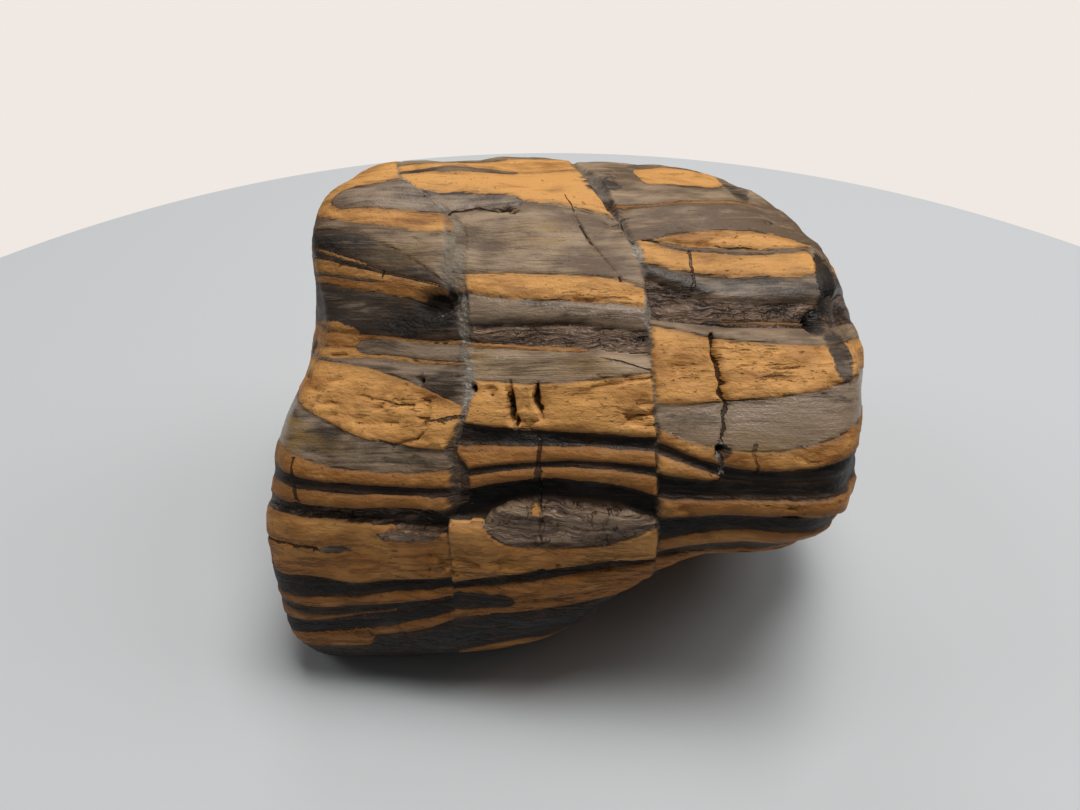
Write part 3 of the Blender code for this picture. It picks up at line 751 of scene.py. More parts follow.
@dataclass
class Place:
    """Everything that is known about places on the smooth skin, from their bedding coordinates.

    upper is 1 on the side that the cracks, inclusions and patches belong to, and 0 on the far side.
    """

    space: np.ndarray

    def __post_init__(self) -> None:
        """Note the coordinates and how far places belong to the upper side."""
        self.x, self.depth, self.up_dip = self.space.T
        self.upper = smooth_step(*UPPER_SIDE, self.up_dip)
        waves = enumerate(WANDER, start=Seed.WANDER)
        wander = sum(high * self.noise(length, seed) for seed, (length, high) in waves)
        self.wandered_x = self.x + wander
        self.wandered_depth = self.depth + WANDER_ACROSS * wander

    def noise(self, lengths: float | tuple[float, float, float], seed: int) -> np.ndarray:
        """Noise from -1 to 1 with features of these lengths, along x, across the beds and up the dip."""
        return lattice_noise(self.space / lengths, seed)

    def slice_weights(self) -> tuple[np.ndarray, np.ndarray, np.ndarray]:
        """How far each place belongs to the left, middle and right slice."""
        offsets = (vein.gap(self.x, self.depth)[0] for vein in VEINS)
        past_left, past_right = (smooth_step(*SLICE_CHANGE, offset) for offset in offsets)
        return 1.0 - past_left, past_left * (1.0 - past_right), past_right

    def beds(self) -> tuple[np.ndarray, np.ndarray, np.ndarray]:
        """For each slice: bed number and share through it, the length of that share, and the closed bed."""
        numbers, through, spans, closed = zip(*(part.locate(self.x, self.depth) for part in SLICES))
        beds = np.column_stack(numbers) + np.column_stack(through)
        return beds, np.column_stack(spans), np.column_stack(closed).astype(float)

    def bed_recess(self, crisp: float, soft: float) -> np.ndarray:
        """How far the beds of the three slices are worn back: crisp ledges at the front, soft ones above."""
        recess = np.zeros(len(self.x))
        soften = soft + (crisp - soft) * smooth_step(*LEDGES_TURN, self.depth)
        for part, weight in zip(SLICES, self.slice_weights()):
            recess += weight * part.worn_back(self.x, self.depth, soften)
        return recess * (1.0 - LOST_AT_ENDS * smooth_step(*STONE_ENDS, np.abs(self.x)))

    def finish_shares(self) -> dict[Finish, np.ndarray]:
        """Where each finish is found: 1 in its beds and 0 outside them."""
        shares = {finish: np.zeros(len(self.x)) for finish in Finish}
        for part, weight in zip(SLICES, self.slice_weights()):
            number = part.locate(self.x, self.depth)[0]
            for finish in Finish:
                is_it = np.array([bed.finish is finish for bed in part.beds])
                shares[finish] += weight * is_it[number]
        return shares

    def veins(self) -> tuple[np.ndarray, np.ndarray]:
        """Offsets from the two veins and the distance outside the nearest, then how pale and dark it is."""
        gaps = [vein.gap(self.x, self.depth) for vein in VEINS]
        fills = [vein.fill(self.depth) for vein in VEINS]
        first = gaps[0][1] < gaps[1][1]
        sides = np.column_stack([gaps[0][0], gaps[1][0], np.minimum(gaps[0][1], gaps[1][1])])
        pale = np.where(first, fills[0][0], fills[1][0])
        dark = np.where(first, fills[0][1], fills[1][1])
        return sides, np.column_stack([pale, dark, np.zeros(len(pale))])

    def vein_recess(self) -> np.ndarray:
        """The shallow grooves of the veins, deeper where the fill is dark and broken."""
        sides, fill = self.veins()
        rubble = RUBBLE_HEIGHT * self.noise(RUBBLE_SIZE, Seed.RUBBLE) * fill[:, 1]
        deep = VEIN_GROOVE + DARK_VEIN_GROOVE * fill[:, 1] + rubble
        return deep * (1.0 - smooth_step(-0.6, 0.5, sides[:, 2]))

    def cracks(self) -> tuple[np.ndarray, np.ndarray]:
        """The nearest crack: distance to its right, half-width and fill, then the plain distance from it."""
        here = np.column_stack([self.wandered_x, self.wandered_depth])
        nearest = np.full(len(here), NOWHERE)
        plain = np.full(len(here), NOT_NEAR)
        rows = np.tile((NOT_NEAR, 0.1, 0.0), (len(here), 1))
        for crack in CRACKS:
            for away, side in crack.distances(here):
                closer = away - crack.half < nearest
                nearest = np.where(closer, away - crack.half, nearest)
                plain = np.where(closer, away, plain)
                rows[closer, 0] = side[closer]
                rows[closer, 1:] = crack.half, crack.filled
        rows[:, 1] *= self.upper
        return rows, plain

    def openings(self) -> np.ndarray:
        """Depth of cracks and pits."""
        recess = np.zeros(len(self.x))
        here = np.column_stack([self.wandered_x, self.wandered_depth])
        for crack in CRACKS:
            if crack.deep > 0.0:
                away = np.min([away for away, _ in crack.distances(here)], axis=0)
                beside = smooth_step(0.0, crack.half + CRACK_LIP, away)
                recess = np.maximum(recess, crack.deep * (1.0 - beside))
        uneven = 0.45 + 0.55 * smooth_step(-0.5, 0.3, self.noise(CRACK_DEPTH_LENGTH, Seed.CRACK_DEPTH))
        return (recess * uneven + self.pits()[0]) * self.upper

    def pits(self) -> tuple[np.ndarray, np.ndarray]:
        """Depth of the pits, and how far inside one each place is."""
        recess = np.zeros(len(self.x))
        inner = np.zeros(len(self.x))
        for pit in PITS:
            out = pit.out(self.wandered_x, self.wandered_depth)
            recess = np.maximum(recess, pit.deep * (1.0 - smooth_step(0.3, 1.3, out)))
            inner = np.maximum(inner, 1.0 - smooth_step(0.5, 1.1, out))
        return recess, inner

    def inclusions(self) -> np.ndarray:
        """The nearest inclusion: distance outside its edge, its finish number and its tone."""
        finishes = list(Finish)
        nearest = np.full(len(self.x), NOWHERE)
        rows = np.tile((NOT_NEAR, 0.0, 0.5), (len(self.x), 1))
        for item in INCLUSIONS:
            out = item.out(self.wandered_x, self.wandered_depth)
            outside = (out - 1.0) * min(item.half_x, item.half_depth) + (1.0 - self.upper) * 20.0
            closer = outside < nearest
            nearest = np.where(closer, outside, nearest)
            rows[closer, 0] = outside[closer]
            rows[closer, 1:] = finishes.index(item.finish), item.tone
        return rows

    def patches(self) -> tuple[np.ndarray, np.ndarray]:
        """The soft patches: dark, tan and eroded shares, then pale share and the inside of pits."""
        shares = np.zeros((len(self.x), 4))
        for item in PATCHES:
            out = item.out(self.wandered_x, self.wandered_depth)
            inside = (1.0 - smooth_step(0.45, 1.35, out)) * self.upper
            for column, share in enumerate((item.dark, item.tan, item.eroded, item.pale)):
                shares[:, column] = np.maximum(shares[:, column], share * inside)
        inner = self.pits()[1] * self.upper
        return shares[:, :3], np.column_stack([shares[:, 3], inner, np.zeros(len(inner))])

    def texture_height(self, eroded: np.ndarray) -> np.ndarray:
        """Grooves along the bedding, grain and level pits, as each finish wears.

        Args:
            eroded: how far each place is eroded, from 0 to 1.

        Returns:
            The height in millimetres.
        """
        height = np.zeros(len(self.x))
        shares = self.finish_shares()
        pitted = smooth_step(-0.1, 0.45, self.noise(PITTED_AREA, Seed.PITTED_AREAS))
        for number, finish in enumerate(Finish):
            relief = RELIEF[finish]
            groove = self.noise((GROOVE_LENGTH, relief.spacing, GROOVE_LENGTH), Seed.GROOVE + number)
            fine = (FINE_GROOVE_LENGTH, relief.spacing * 0.5, FINE_GROOVE_LENGTH)
            groove += FINE_GROOVE_SHARE * self.noise(fine, Seed.FINE_GROOVE + number)
            grain = self.noise(GRAIN_SIZE, Seed.GRAIN + number)
            height += shares[finish] * (relief.groove * groove + relief.grain * grain)
            pits = smooth_step(0.46, 0.64, self.noise(PIT_LENGTHS, Seed.PITTING + number))
            height -= shares[finish] * relief.pitting * PIT_DEPTH * pits * pitted
        cavities = smooth_step(-0.1, 0.6, self.noise(CAVITY_LENGTHS, Seed.ERODED))
        return height - eroded * CAVITY_DEPTH * cavities

    def border_share(self) -> np.ndarray:
        """How close each place is to an edge that the material draws: 1 on it, 0 from a millimetre away."""
        beds, spans, _ = self.beds()
        share = beds - np.floor(beds)
        inside = np.minimum(share, 1.0 - share) * spans
        weights = np.column_stack(self.slice_weights())
        near = (inside * weights).sum(axis=1)
        sides, _ = self.veins()
        near = np.minimum(near, np.abs(sides[:, 2]))
        cracks, away = self.cracks()
        near = np.minimum(near, np.where(self.upper > 0.1, away - cracks[:, 1], NOT_NEAR))
        near = np.minimum(near, np.abs(self.inclusions()[:, 0]))
        return 1.0 - smooth_step(0.4, 1.0, near)


@dataclass
class StoneSkin:
    """The stone's one closed skin, with its relief and the values that its material reads.

    crisp_ledge and soft_ledge are half the lengths over which ledges turn. fade is the heights between which
    the relief grows from nothing at the stone's foot. both is how much of an opening's depth adds to that of
    a worn bed, where the two meet. flat_below is the height under which points are laid on the ground.
    """

    name: str = "banded_stone"
    halvings: int = 8
    triangles: int = 194000
    crisp_ledge: float = 0.45
    soft_ledge: float = 1.5
    fade: tuple[float, float] = (1.5, 9.0)
    both: float = 0.4
    flat_below: float = 0.05
    block: WornBlock = field(default_factory=WornBlock)
    bedding: Bedding = field(default_factory=Bedding)

    def place(self, rays: np.ndarray) -> tuple[Place, np.ndarray, np.ndarray]:
        """What is known along each ray: the place, the smooth skin's radius and its points."""
        heart = np.array(self.block.heart)
        radius = self.block.radius(rays)
        smooth = heart + rays * radius[:, None]
        return Place(self.bedding.coordinates(smooth, heart)), radius, smooth

    def displaced(self, rays: np.ndarray) -> tuple[np.ndarray, np.ndarray]:
        """Points of the finished skin along rays from the heart, and how close each is to a drawn edge."""
        place, radius, smooth = self.place(rays)
        stains_and_shade, _ = place.patches()
        recess = np.maximum(place.bed_recess(self.crisp_ledge, self.soft_ledge), place.vein_recess())
        openings = place.openings()
        height = self.block.swell(smooth) + place.texture_height(stains_and_shade[:, 2])
        height -= np.maximum(recess, openings) + self.both * np.minimum(np.maximum(recess, 0.0), openings)
        fade = smooth_step(*self.fade, smooth[:, 2])
        points = np.array(self.block.heart) + rays * (radius + height * fade)[:, None]
        points[:, 2] = np.maximum(points[:, 2] - self.block.base_cut, 0.0)
        return points, place.border_share() * smooth_step(0.0, 6.0, points[:, 2])

    def fine_cube(self) -> bpy.types.Mesh:
        """A cube halved again and again into small squares."""
        bpy.ops.mesh.primitive_cube_add(size=2.0)
        cube = bpy.context.object
        divide = cube.modifiers.new("halvings", "SUBSURF")
        divide.subdivision_type = "SIMPLE"
        divide.levels = self.halvings
        divide.render_levels = self.halvings
        graph = bpy.context.evaluated_depsgraph_get()
        mesh = bpy.data.meshes.new_from_object(cube.evaluated_get(graph))
        bpy.data.objects.remove(cube, do_unlink=True)
        return mesh

    def thinned(self, mesh: bpy.types.Mesh, kept: np.ndarray) -> bpy.types.Mesh:
        """Join small faces away from drawn edges, down to the allowed number of triangles.

        Args:
            mesh: the full mesh.
            kept: how much each point is worth keeping, from 0 to 1.

        Returns:
            The smaller mesh.
        """
        piece = bpy.data.objects.new("thinning", mesh)
        bpy.context.scene.collection.objects.link(piece)
        group = piece.vertex_groups.new(name="kept")
        for step in range(1, 5):
            chosen = np.flatnonzero(np.round(kept * 4.0) == step)
            group.add(chosen.tolist(), step / 4.0, "REPLACE")
        fewer = piece.modifiers.new("fewer faces", "DECIMATE")
        fewer.ratio = self.triangles / (2.0 * len(mesh.polygons))
        fewer.use_collapse_triangulate = True
        fewer.vertex_group = "kept"
        fewer.invert_vertex_group = True
        fewer.vertex_group_factor = 0.05
        graph = bpy.context.evaluated_depsgraph_get()
        result = bpy.data.meshes.new_from_object(piece.evaluated_get(graph))
        bpy.data.objects.remove(piece, do_unlink=True)
        return result

    def write_values(self, mesh: bpy.types.Mesh, points: np.ndarray) -> None:
        """Store on each point the values that the material reads.

        Args:
            mesh: the finished mesh.
            points: its points in millimetres, about the block's own axes.
        """
        rays = points + np.array([0.0, 0.0, self.block.base_cut]) - np.array(self.block.heart)
        rays /= np.linalg.norm(rays, axis=1)[:, None]
        place, _, _ = self.place(rays)
        beds, spans, closed = place.beds()
        sides, fill = place.veins()
        stains_and_shade, flecks_and_pit_shade = place.patches()
        cracks, flecks_and_pit_shade[:, 2] = place.cracks()
        layers = {
            "bedding": place.space, "beds": beds, "spans": spans, "closed": closed,
            "closed_squares": closed * closed, "sides": sides, "vein_fill": fill,
            "cracks": cracks, "inclusions": place.inclusions(), "stains_and_shade": stains_and_shade, "flecks_and_pit_shade": flecks_and_pit_shade,
        }
        for label, rows in layers.items():
            layer = mesh.attributes.new(label, "FLOAT_VECTOR", "POINT")
            layer.data.foreach_set("vector", rows.astype(np.float32).ravel())

    def build(self) -> bpy.types.Object:
        """Make the stone's object, in the place of the solid part."""
        mesh = self.fine_cube()
        corners = np.empty(len(mesh.vertices) * 3)
        mesh.vertices.foreach_get("co", corners)
        rays = np.tan(corners.reshape(-1, 3) * (math.pi / 4.0))
        rays /= np.linalg.norm(rays, axis=1)[:, None]
        points, kept = self.displaced(rays)
        mesh.vertices.foreach_set("co", points.ravel())
        mesh.update()
        LOG.info("%s: full skin has %d points", self.name, len(points))
        mesh = self.thinned(mesh, kept)
        places = np.empty(len(mesh.vertices) * 3)
        mesh.vertices.foreach_get("co", places)
        places = places.reshape(-1, 3)
        self.write_values(mesh, places)
        places[places[:, 2] < self.flat_below, 2] = 0.0
        low, high = (np.array(corner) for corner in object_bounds())
        middle = (places[:, :2].min(axis=0) + places[:, :2].max(axis=0)) / 2.0
        LOG.info("%s: footprint middle at %.2f, %.2f mm from the heart", self.name, *middle)
        places[:, :2] += (low[:2] + high[:2]) / (2.0 * MM) - middle
        mesh.vertices.foreach_set("co", (places * MM).ravel())
        mesh.name = self.name
        mesh.update()
        stone = bpy.data.objects.new(self.name, mesh)
        bpy.context.scene.collection.objects.link(stone)
        mesh.shade_smooth()
        LOG.info("%s: %d points, %d triangles", self.name, len(mesh.vertices), len(mesh.polygons))
        return stone


Socket = bpy.types.NodeSocket


def linear(code: str, alpha: float = 1.0) -> tuple[float, float, float, float]:
    """Turn an sRGB hex colour into the linear values that shader sockets take."""
    parts = [int(code[place:place + 2], 16) / 255.0 for place in (1, 3, 5)]
    straight = [part / 12.92 if part <= 0.04045 else ((part + 0.055) / 1.055) ** 2.4 for part in parts]
    return (*straight, alpha)


class Step(Enum):
    """What a node does: the node's type, its settings, the sockets that are fed in turn, and its output."""

    SUM = ("Math", {"operation": "ADD"}, (0, 1), 0)
    DIFFERENCE = ("Math", {"operation": "SUBTRACT"}, (0, 1), 0)
    PRODUCT = ("Math", {"operation": "MULTIPLY"}, (0, 1), 0)
    PRODUCT_PLUS = ("Math", {"operation": "MULTIPLY_ADD"}, (0, 1, 2), 0)
    LARGER = ("Math", {"operation": "MAXIMUM"}, (0, 1), 0)
    SMALLER = ("Math", {"operation": "MINIMUM"}, (0, 1), 0)
    SIZE = ("Math", {"operation": "ABSOLUTE"}, (0,), 0)
    WHOLE = ("Math", {"operation": "FLOOR"}, (0,), 0)
    FRACTION = ("Math", {"operation": "FRACT"}, (0,), 0)
    IS_MORE = ("Math", {"operation": "GREATER_THAN"}, (0, 1), 0)
    IS_LESS = ("Math", {"operation": "LESS_THAN"}, (0, 1), 0)
    RISE = ("MapRange", {"interpolation_type": "SMOOTHSTEP"}, ("Value", "From Min", "From Max"), "Result")
    VALUE_MIX = ("Mix", {"data_type": "FLOAT"}, (0, 2, 3), 0)
    COLOUR_MIX = ("Mix", {"data_type": "RGBA"}, (0, 6, 7), 2)
    COLOUR_TABLE = ("ValToRGB", {}, (0,), 0)
    COLOUR_PARTS = ("SeparateColor", {}, (0,), 0)
    STORED = ("Attribute", {"attribute_type": "GEOMETRY"}, (), "Vector")
    PLACE = ("CombineXYZ", {}, (0, 1, 2), 0)
    PLACE_PARTS = ("SeparateXYZ", {}, (0,), 0)
    MOVED_PLACE = ("VectorMath", {"operation": "ADD"}, (0, 1), 0)
    SCALED_PLACE = ("VectorMath", {"operation": "MULTIPLY_ADD"}, (0, 1, 2), 0)
    NOISE = ("TexNoise", {}, ("Vector", "Scale", "Detail", "Roughness"), "Fac")
    BUMP = ("Bump", {}, ("Strength", "Distance", "Height"), 0)
    SURFACE = ("BsdfPrincipled", {}, ("Base Color", "Roughness", "Normal"), 0)
    FINISHED = ("OutputMaterial", {}, ("Surface",), None)
    GLOW = ("Background", {}, (0, 1), 0)
    SEEN_DIRECTLY = ("LightPath", {}, (), "Is Camera Ray")
    GLOW_MIX = ("MixShader", {}, (0, 1, 2), 0)
    ROOM = ("OutputWorld", {}, ("Surface",), None)


def add(tree: bpy.types.NodeTree, step: Step, *feeds: object, **settings: object) -> Socket | None:
    """Add one node, with its settings and what feeds it.

    Args:
        tree: the node tree.
        step: what the node does.
        feeds: for each of the step's sockets in turn, a plain value or the output that feeds it.
        settings: further properties of the node.

    Returns:
        The node's output, or None where nothing can follow it.
    """
    kind, fixed, sockets, output = step.value
    node = tree.nodes.new("ShaderNode" + kind)
    for label, value in {**fixed, **settings}.items():
        setattr(node, label, value)
    for socket, feed in zip(sockets, feeds):
        if isinstance(feed, Socket):
            tree.links.new(feed, node.inputs[socket])
        else:
            node.inputs[socket].default_value = feed
    return None if output is None else node.outputs[output]


@dataclass(frozen=True)
class RockColours:
    """Look of one bed finish.

    dark and light are the two shades of its body, stain and thread the marks along the beds. streaked,
    stained and threaded say how strongly each shows, from 0 to 1.
    """

    dark: str
    light: str
    stain: str
    thread: str
    roughness: float
    streaked: float = 0.5
    stained: float = 0.4
    threaded: float = 0.2


# Ochre chert: fine silica stained by goethite, water-worn to a dull, clay-like skin.
OCHRE_CHERT = RockColours("#9a652f", "#d69b56", "#7b5029", "#dcab6c", 0.62, 0.32, 0.55, 0.12)
# Haematite and magnetite ironstone: dense, near black, polished by wear to a satin face.
DARK_IRONSTONE = RockColours("#0d0a08", "#2f261f", "#2c1c0f", "#574a3d", 0.42, 0.60, 0.45, 0.20)
# Grey ironstone: ore mixed with chert, worn to a smooth brown-grey face with a soft gloss.
GREY_IRONSTONE = RockColours("#3e332a", "#97816b", "#5a442f", "#ae987c", 0.30, 0.62, 0.45, 0.30)
# Weathered ironstone: leached brown-grey beds with tan threads along them.
WEATHERED_IRONSTONE = RockColours("#6a5542", "#a48b6f", "#4f3d2b", "#b69566", 0.54, 0.48, 0.45, 0.35)
# Fibrous ironstone: broken needles of iron ore and silica, brown, split and sharply lined. Its near-black is
# painted shade between the fibres and its tan thread a painted highlight on their tops.
FIBROUS_IRONSTONE = RockColours("#1b120c", "#735b49", "#37271c", "#a58a70", 0.36)
# Vein rock: crushed ironstone and chert, dull grey.
VEIN_ROCK = RockColours("#4c443b", "#827869", "#352d25", "#9b8f7b", 0.55, 0.30, 0.50, 0.20)
# Vein quartz: small pale grains that glint.
VEIN_QUARTZ = RockColours("#86807a", "#bdb8ae", "#5f574c", "#d6d2c8", 0.35, 0.30, 0.50, 0.10)

BED_BORDER = "#5a3f26"
# Painted shade in openings: near black in cracks, fibre splits, border lines and pits, and dark brown in
# slits and pores.
CRACK_SHADE = "#23170e"
PIT_SHADE = "#17110d"
SLIT_SHADE = "#5c391a"
BROWN_FLAKE = "#6b3d10"
# A darker, richer ochre over the lowest beds: painted shade on the stone's foot.
FOOT_SHADE_OCHRE = "#9c5f1c"
TAN_STAIN = "#97763f"
# Near black of dark stains, and of painted shade in hollows, cavities and holes.
BLACK_STAIN_AND_HOLLOW_SHADE = "#1b1613"

# Chert bends light like glass, but its water-worn skin reflects only half as much as a clean face would.
ROCK_IOR = 1.55
ROCK_SPECULAR = 0.25
# The darkest beds of these two finishes are duller than the polished ones by this much roughness.
DARK_DULLED = 0.18
GREY_DULLED = 0.28
HOLLOW_ROUGHNESS = 0.85
# How many rows the look-up tables for beds and for inclusions have room for.
BED_ROWS = 32
INCLUSION_ROWS = 8
# Past each vein the patterns are moved this far up the dip, so that they don't run on across it.
SLICE_SHIFTS = (31.0, 47.0)
# Bed depths between which borders turn feathery towards the crown, and ochre takes a darker, richer painted
# shade towards the foot.
CROWN_TURN = (-12.0, -24.0)
FOOT_TURN = (20.0, 25.0)
# Edges in the patterns of the body: a mark's share is 0 at the first value and 1 at the second.
CLOUD_EDGE = (0.40, 0.60)
BODY_SHADES = (0.32, 0.68)
STAIN_EDGE = (0.52, 0.70)
THREAD_EDGE = (0.56, 0.72)
FIBRE_SIDE = (0.40, 0.56)
FIBRE_TOP = (0.56, 0.70)
FIBRE_STAIN_EDGE = (0.50, 0.66)
SPLIT_EDGE = (0.022, 0.004)
DARK_TONES = (0.5, 0.0)
TAN_EDGE = (0.38, 0.58)
BLACK_EDGE = (0.20, 0.80)
BLACK_LIMIT = (0.02, 0.25)
RUBBLE_EDGE = (0.3, 0.9)
# The same for borders, inclusions, veins and cracks, in millimetres, and for where lines are broken up.
BORDER_REACHED = (1.2, 0.0)
BORDER_LINE = (0.30, 0.0)
INCLUSION_EDGE = (0.30, -0.30)
VEIN_WALL = (0.20, -0.35)
CRACK_EDGE = (-0.10, 0.06)
CRACK_THERE = (0.02, 0.08)
CRACK_WIDE = (0.15, 0.26)
CRACK_LIMIT = (0.45, 0.15)
LINE_BROKEN = (0.44, 0.60)
BROKEN_UP = (0.44, 0.54)
# The same in the patterns of wear and of quartz.
FLAKE_EDGE = (0.50, 0.62)
GROOVE_EDGE = (0.62, 0.78)
SLIT_EDGE = (0.68, 0.80)
PORE_EDGE = (0.60, 0.76)
PIT_EDGE = (0.40, 0.85)
QUARTZ_LIMIT = (0.03, 0.2)
QUARTZ_EDGE = (0.64, 0.76)
# Heights of the finest relief, in millimetres.
THREAD_HEIGHT = 0.10
LINED_THREAD_HEIGHT = 0.24
OCHRE_THREAD_HEIGHT = 0.05
GRAIN_HEIGHT = 0.12
LUMP_HEIGHT = 0.36
GREY_LUMP_HEIGHT = 0.12
FIBRE_HEIGHT = 1.5
SPLIT_DEPTH = 0.35
CRUSHED_HEIGHT = 0.7
# Depths of grooves, pores, flake scars, cracks and border lines, in millimetres.
SUNK = (0.75, 0.30, 0.35, 0.40, 0.15)


@dataclass(frozen=True)
class Pattern:
    """An uneven pattern in the rock.

    lengths are the sizes of its features in millimetres along x, across the beds and up the dip. octaves is
    how many finer layers it has, rough how strong those are, and shift tells it from other patterns.
    """

    lengths: tuple[float, float, float]
    octaves: float
    rough: float
    shift: float = 0.0


# Borders wander by a millimetre or two, and their edges are ragged on the scale of a grain or so.
WOBBLE = Pattern((3.2, 1.6, 3.2), 4.0, 0.62)
RAGGED = Pattern((1.3, 1.0, 1.3), 4.0, 0.65, 3.0)
# The body of a bed: streaks, clouds, stains and threads drawn out along it, and its grain. The real grain
# is under a tenth of a millimetre, too fine to show, so it is drawn as coarse as it needs to be.
STREAKS = Pattern((9.0, 0.8, 9.0), 4.0, 0.60, 3.0)
CLOUDS = Pattern((10.0, 4.5, 10.0), 4.0, 0.55, 5.0)
STAINING = Pattern((12.0, 1.5, 12.0), 5.0, 0.62, 9.0)
THREADS = Pattern((8.0, 0.5, 8.0), 3.0, 0.60, 13.0)
GRAIN = Pattern((0.6, 0.5, 0.6), 3.0, 0.65, 15.0)
# Bundles of fibres under a millimetre thick, which swing up and down and split across every few millimetres.
FIBRES = Pattern((7.0, 0.85, 7.0), 4.0, 0.62)
FIBRE_SWING = Pattern((6.0, 3.0, 6.0), 3.0, 0.55, 7.0)
FIBRE_SPLITS = Pattern((2.4, 3.6, 2.4), 3.0, 0.60, 61.0)
# Wear: flakes off the lowest beds, slits half a millimetre high, rounder pores, and lumps left standing.
FLAKES = Pattern((5.5, 1.1, 5.5), 5.0, 0.65, 21.0)
SLITS = Pattern((4.0, 0.5, 4.0), 4.0, 0.62, 33.0)
PORES = Pattern((1.3, 0.7, 1.3), 3.0, 0.60, 47.0)
LUMPS = Pattern((2.2, 1.2, 2.2), 3.0, 0.60, 103.0)
# Cracks widen and close every few millimetres. Quartz grains are a millimetre and less.
CRACK_WIDTH = Pattern((2.4, 2.4, 2.4), 3.0, 0.60, 113.0)
QUARTZ_GRAINS = Pattern((1.0, 0.8, 1.0), 4.0, 0.75, 77.0)


class StoneMaterial:
    """One material for the whole skin: the bed log picks the finish, and each finish has its own colours.

    Shares and tones run from 0 to 1. Patterns are 0.5 on average. Distances are in millimetres.
    """

    def __init__(self) -> None:
        """Open an empty node tree, read the stored values and lay out the patterns that finishes share."""
        self.material = bpy.data.materials.new("Banded ironstone, water-worn")
        self.material.use_nodes = True
        self.material.node_tree.nodes.clear()
        self.add = partial(add, self.material.node_tree)
        self.space = self.add(Step.STORED, attribute_name="bedding")
        self.depth = self.stored("bedding")[1]
        self.beds = self.stored("beds")
        self.spans = self.stored("spans")
        self.closed = self.stored("closed")
        self.closed_squares = self.stored("closed_squares")
        self.sides = self.stored("sides")
        self.fill = self.stored("vein_fill")
        self.cracks = self.stored("cracks")
        self.inclusions = self.stored("inclusions")
        # The dark share here is partly dark staining and partly painted shade in hollows and cavities; then
        # the tan and eroded shares.
        self.stains_and_shade = self.stored("stains_and_shade")
        # Pale quartz share, the inside of pits (where pit shade is painted), and distance from the nearest
        # crack.
        self.flecks_and_pit_shade = self.stored("flecks_and_pit_shade")
        self.wobble = self.add(Step.DIFFERENCE, self.lay(WOBBLE), 0.5)
        self.ragged = self.add(Step.DIFFERENCE, self.lay(RAGGED), 0.5)
        self.past = [
            self.add(Step.IS_MORE, self.add(Step.PRODUCT_PLUS, self.ragged, 0.9, side), 0.0)
            for side in self.sides[:2]
        ]
        first, second = (self.add(Step.PRODUCT, *both) for both in zip(self.past, SLICE_SHIFTS))
        shift = self.add(Step.PLACE, 0.0, 0.0, self.add(Step.SUM, first, second))
        self.space = self.add(Step.MOVED_PLACE, self.space, shift)
        self.streaks = self.lay(STREAKS)
        self.clouds = self.lay(CLOUDS)
        self.staining = self.lay(STAINING)
        self.threads = self.lay(THREADS)
        self.grain = self.lay(GRAIN)
        swing = self.add(Step.PLACE, 0.0, self.add(Step.PRODUCT_PLUS, self.lay(FIBRE_SWING), 3.6, -1.8))
        self.fibres = self.lay(FIBRES, self.add(Step.MOVED_PLACE, self.space, swing))
        middle = self.add(Step.SIZE, self.add(Step.DIFFERENCE, self.lay(FIBRE_SPLITS), 0.5))
        split = self.add(Step.RISE, middle, *SPLIT_EDGE)
        self.splits = self.add(Step.PRODUCT, split, self.add(Step.RISE, self.clouds, *BROKEN_UP))

    def stored(self, label: str) -> tuple[Socket, ...]:
        """The three parts of one value that is stored on the skin."""
        return tuple(self.add(Step.PLACE_PARTS, self.add(Step.STORED, attribute_name=label)).node.outputs)

    def lay(self, pattern: Pattern, space: Socket | None = None) -> Socket:
        """Lay a pattern out in bedding space.

        Args:
            pattern: the pattern.
            space: another space to lay it out in, if it isn't the plain one.

        Returns:
            The pattern's value at each place.
        """
        sizes = tuple(1.0 / length for length in pattern.lengths)
        shift = (pattern.shift, pattern.shift * 1.7, pattern.shift * 0.6)
        place = self.add(Step.SCALED_PLACE, self.space if space is None else space, sizes, shift)
        return self.add(Step.NOISE, place, 1.0, pattern.octaves, pattern.rough)

    def look_up(self, title: str, where: Socket, room: int, rows: list[tuple[float, ...]]) -> Socket:
        """Read one row of a table of colours.

        Args:
            title: what the table holds.
            where: the place in the table, from 0 to 1.
            room: how many rows the table has room for.
            rows: the colours and the alpha of the rows in use.

        Returns:
            The colour. The same node's second output is its alpha.
        """
        colour = self.add(Step.COLOUR_TABLE, where, label=title)
        ramp = colour.node.color_ramp
        ramp.interpolation = "CONSTANT"
        for number, row in enumerate(rows):
            stop = ramp.elements[number] if number < 2 else ramp.elements.new(number / room)
            stop.position = number / room
            stop.color = row
        return colour

    def by_slice(self, step: Step, values: list[Socket]) -> Socket:
        """Take the value of the slice that each place belongs to."""
        return self.add(step, self.past[1], self.add(step, self.past[0], *values[:2]), values[2])

    def mark(self, colour: Socket, over: str, share: Socket, strength: float) -> Socket:
        """Lay a plain colour over another where a mark shows, as strongly as is given."""
        return self.add(Step.COLOUR_MIX, self.add(Step.PRODUCT, share, strength), colour, linear(over))

    def past_closed(self, number: int, bed: Socket) -> Socket:
        """Step over a bed that is closed up here, so that it leaves no thread between its neighbours.

        Args:
            number: which slice it is.
            bed: the bed's number there, with the share through it.

        Returns:
            The number, one greater where it falls in the closed bed.
        """
        closed = self.closed[number]
        away = self.add(Step.SIZE, self.add(Step.DIFFERENCE, self.add(Step.WHOLE, bed), closed))
        square = self.add(Step.PRODUCT, closed, closed)
        mixed = self.add(Step.SIZE, self.add(Step.DIFFERENCE, self.closed_squares[number], square))
        inside = self.add(Step.IS_LESS, away, 0.5)
        certain = self.add(Step.IS_LESS, mixed, 0.25)
        return self.add(Step.PRODUCT_PLUS, inside, certain, bed)

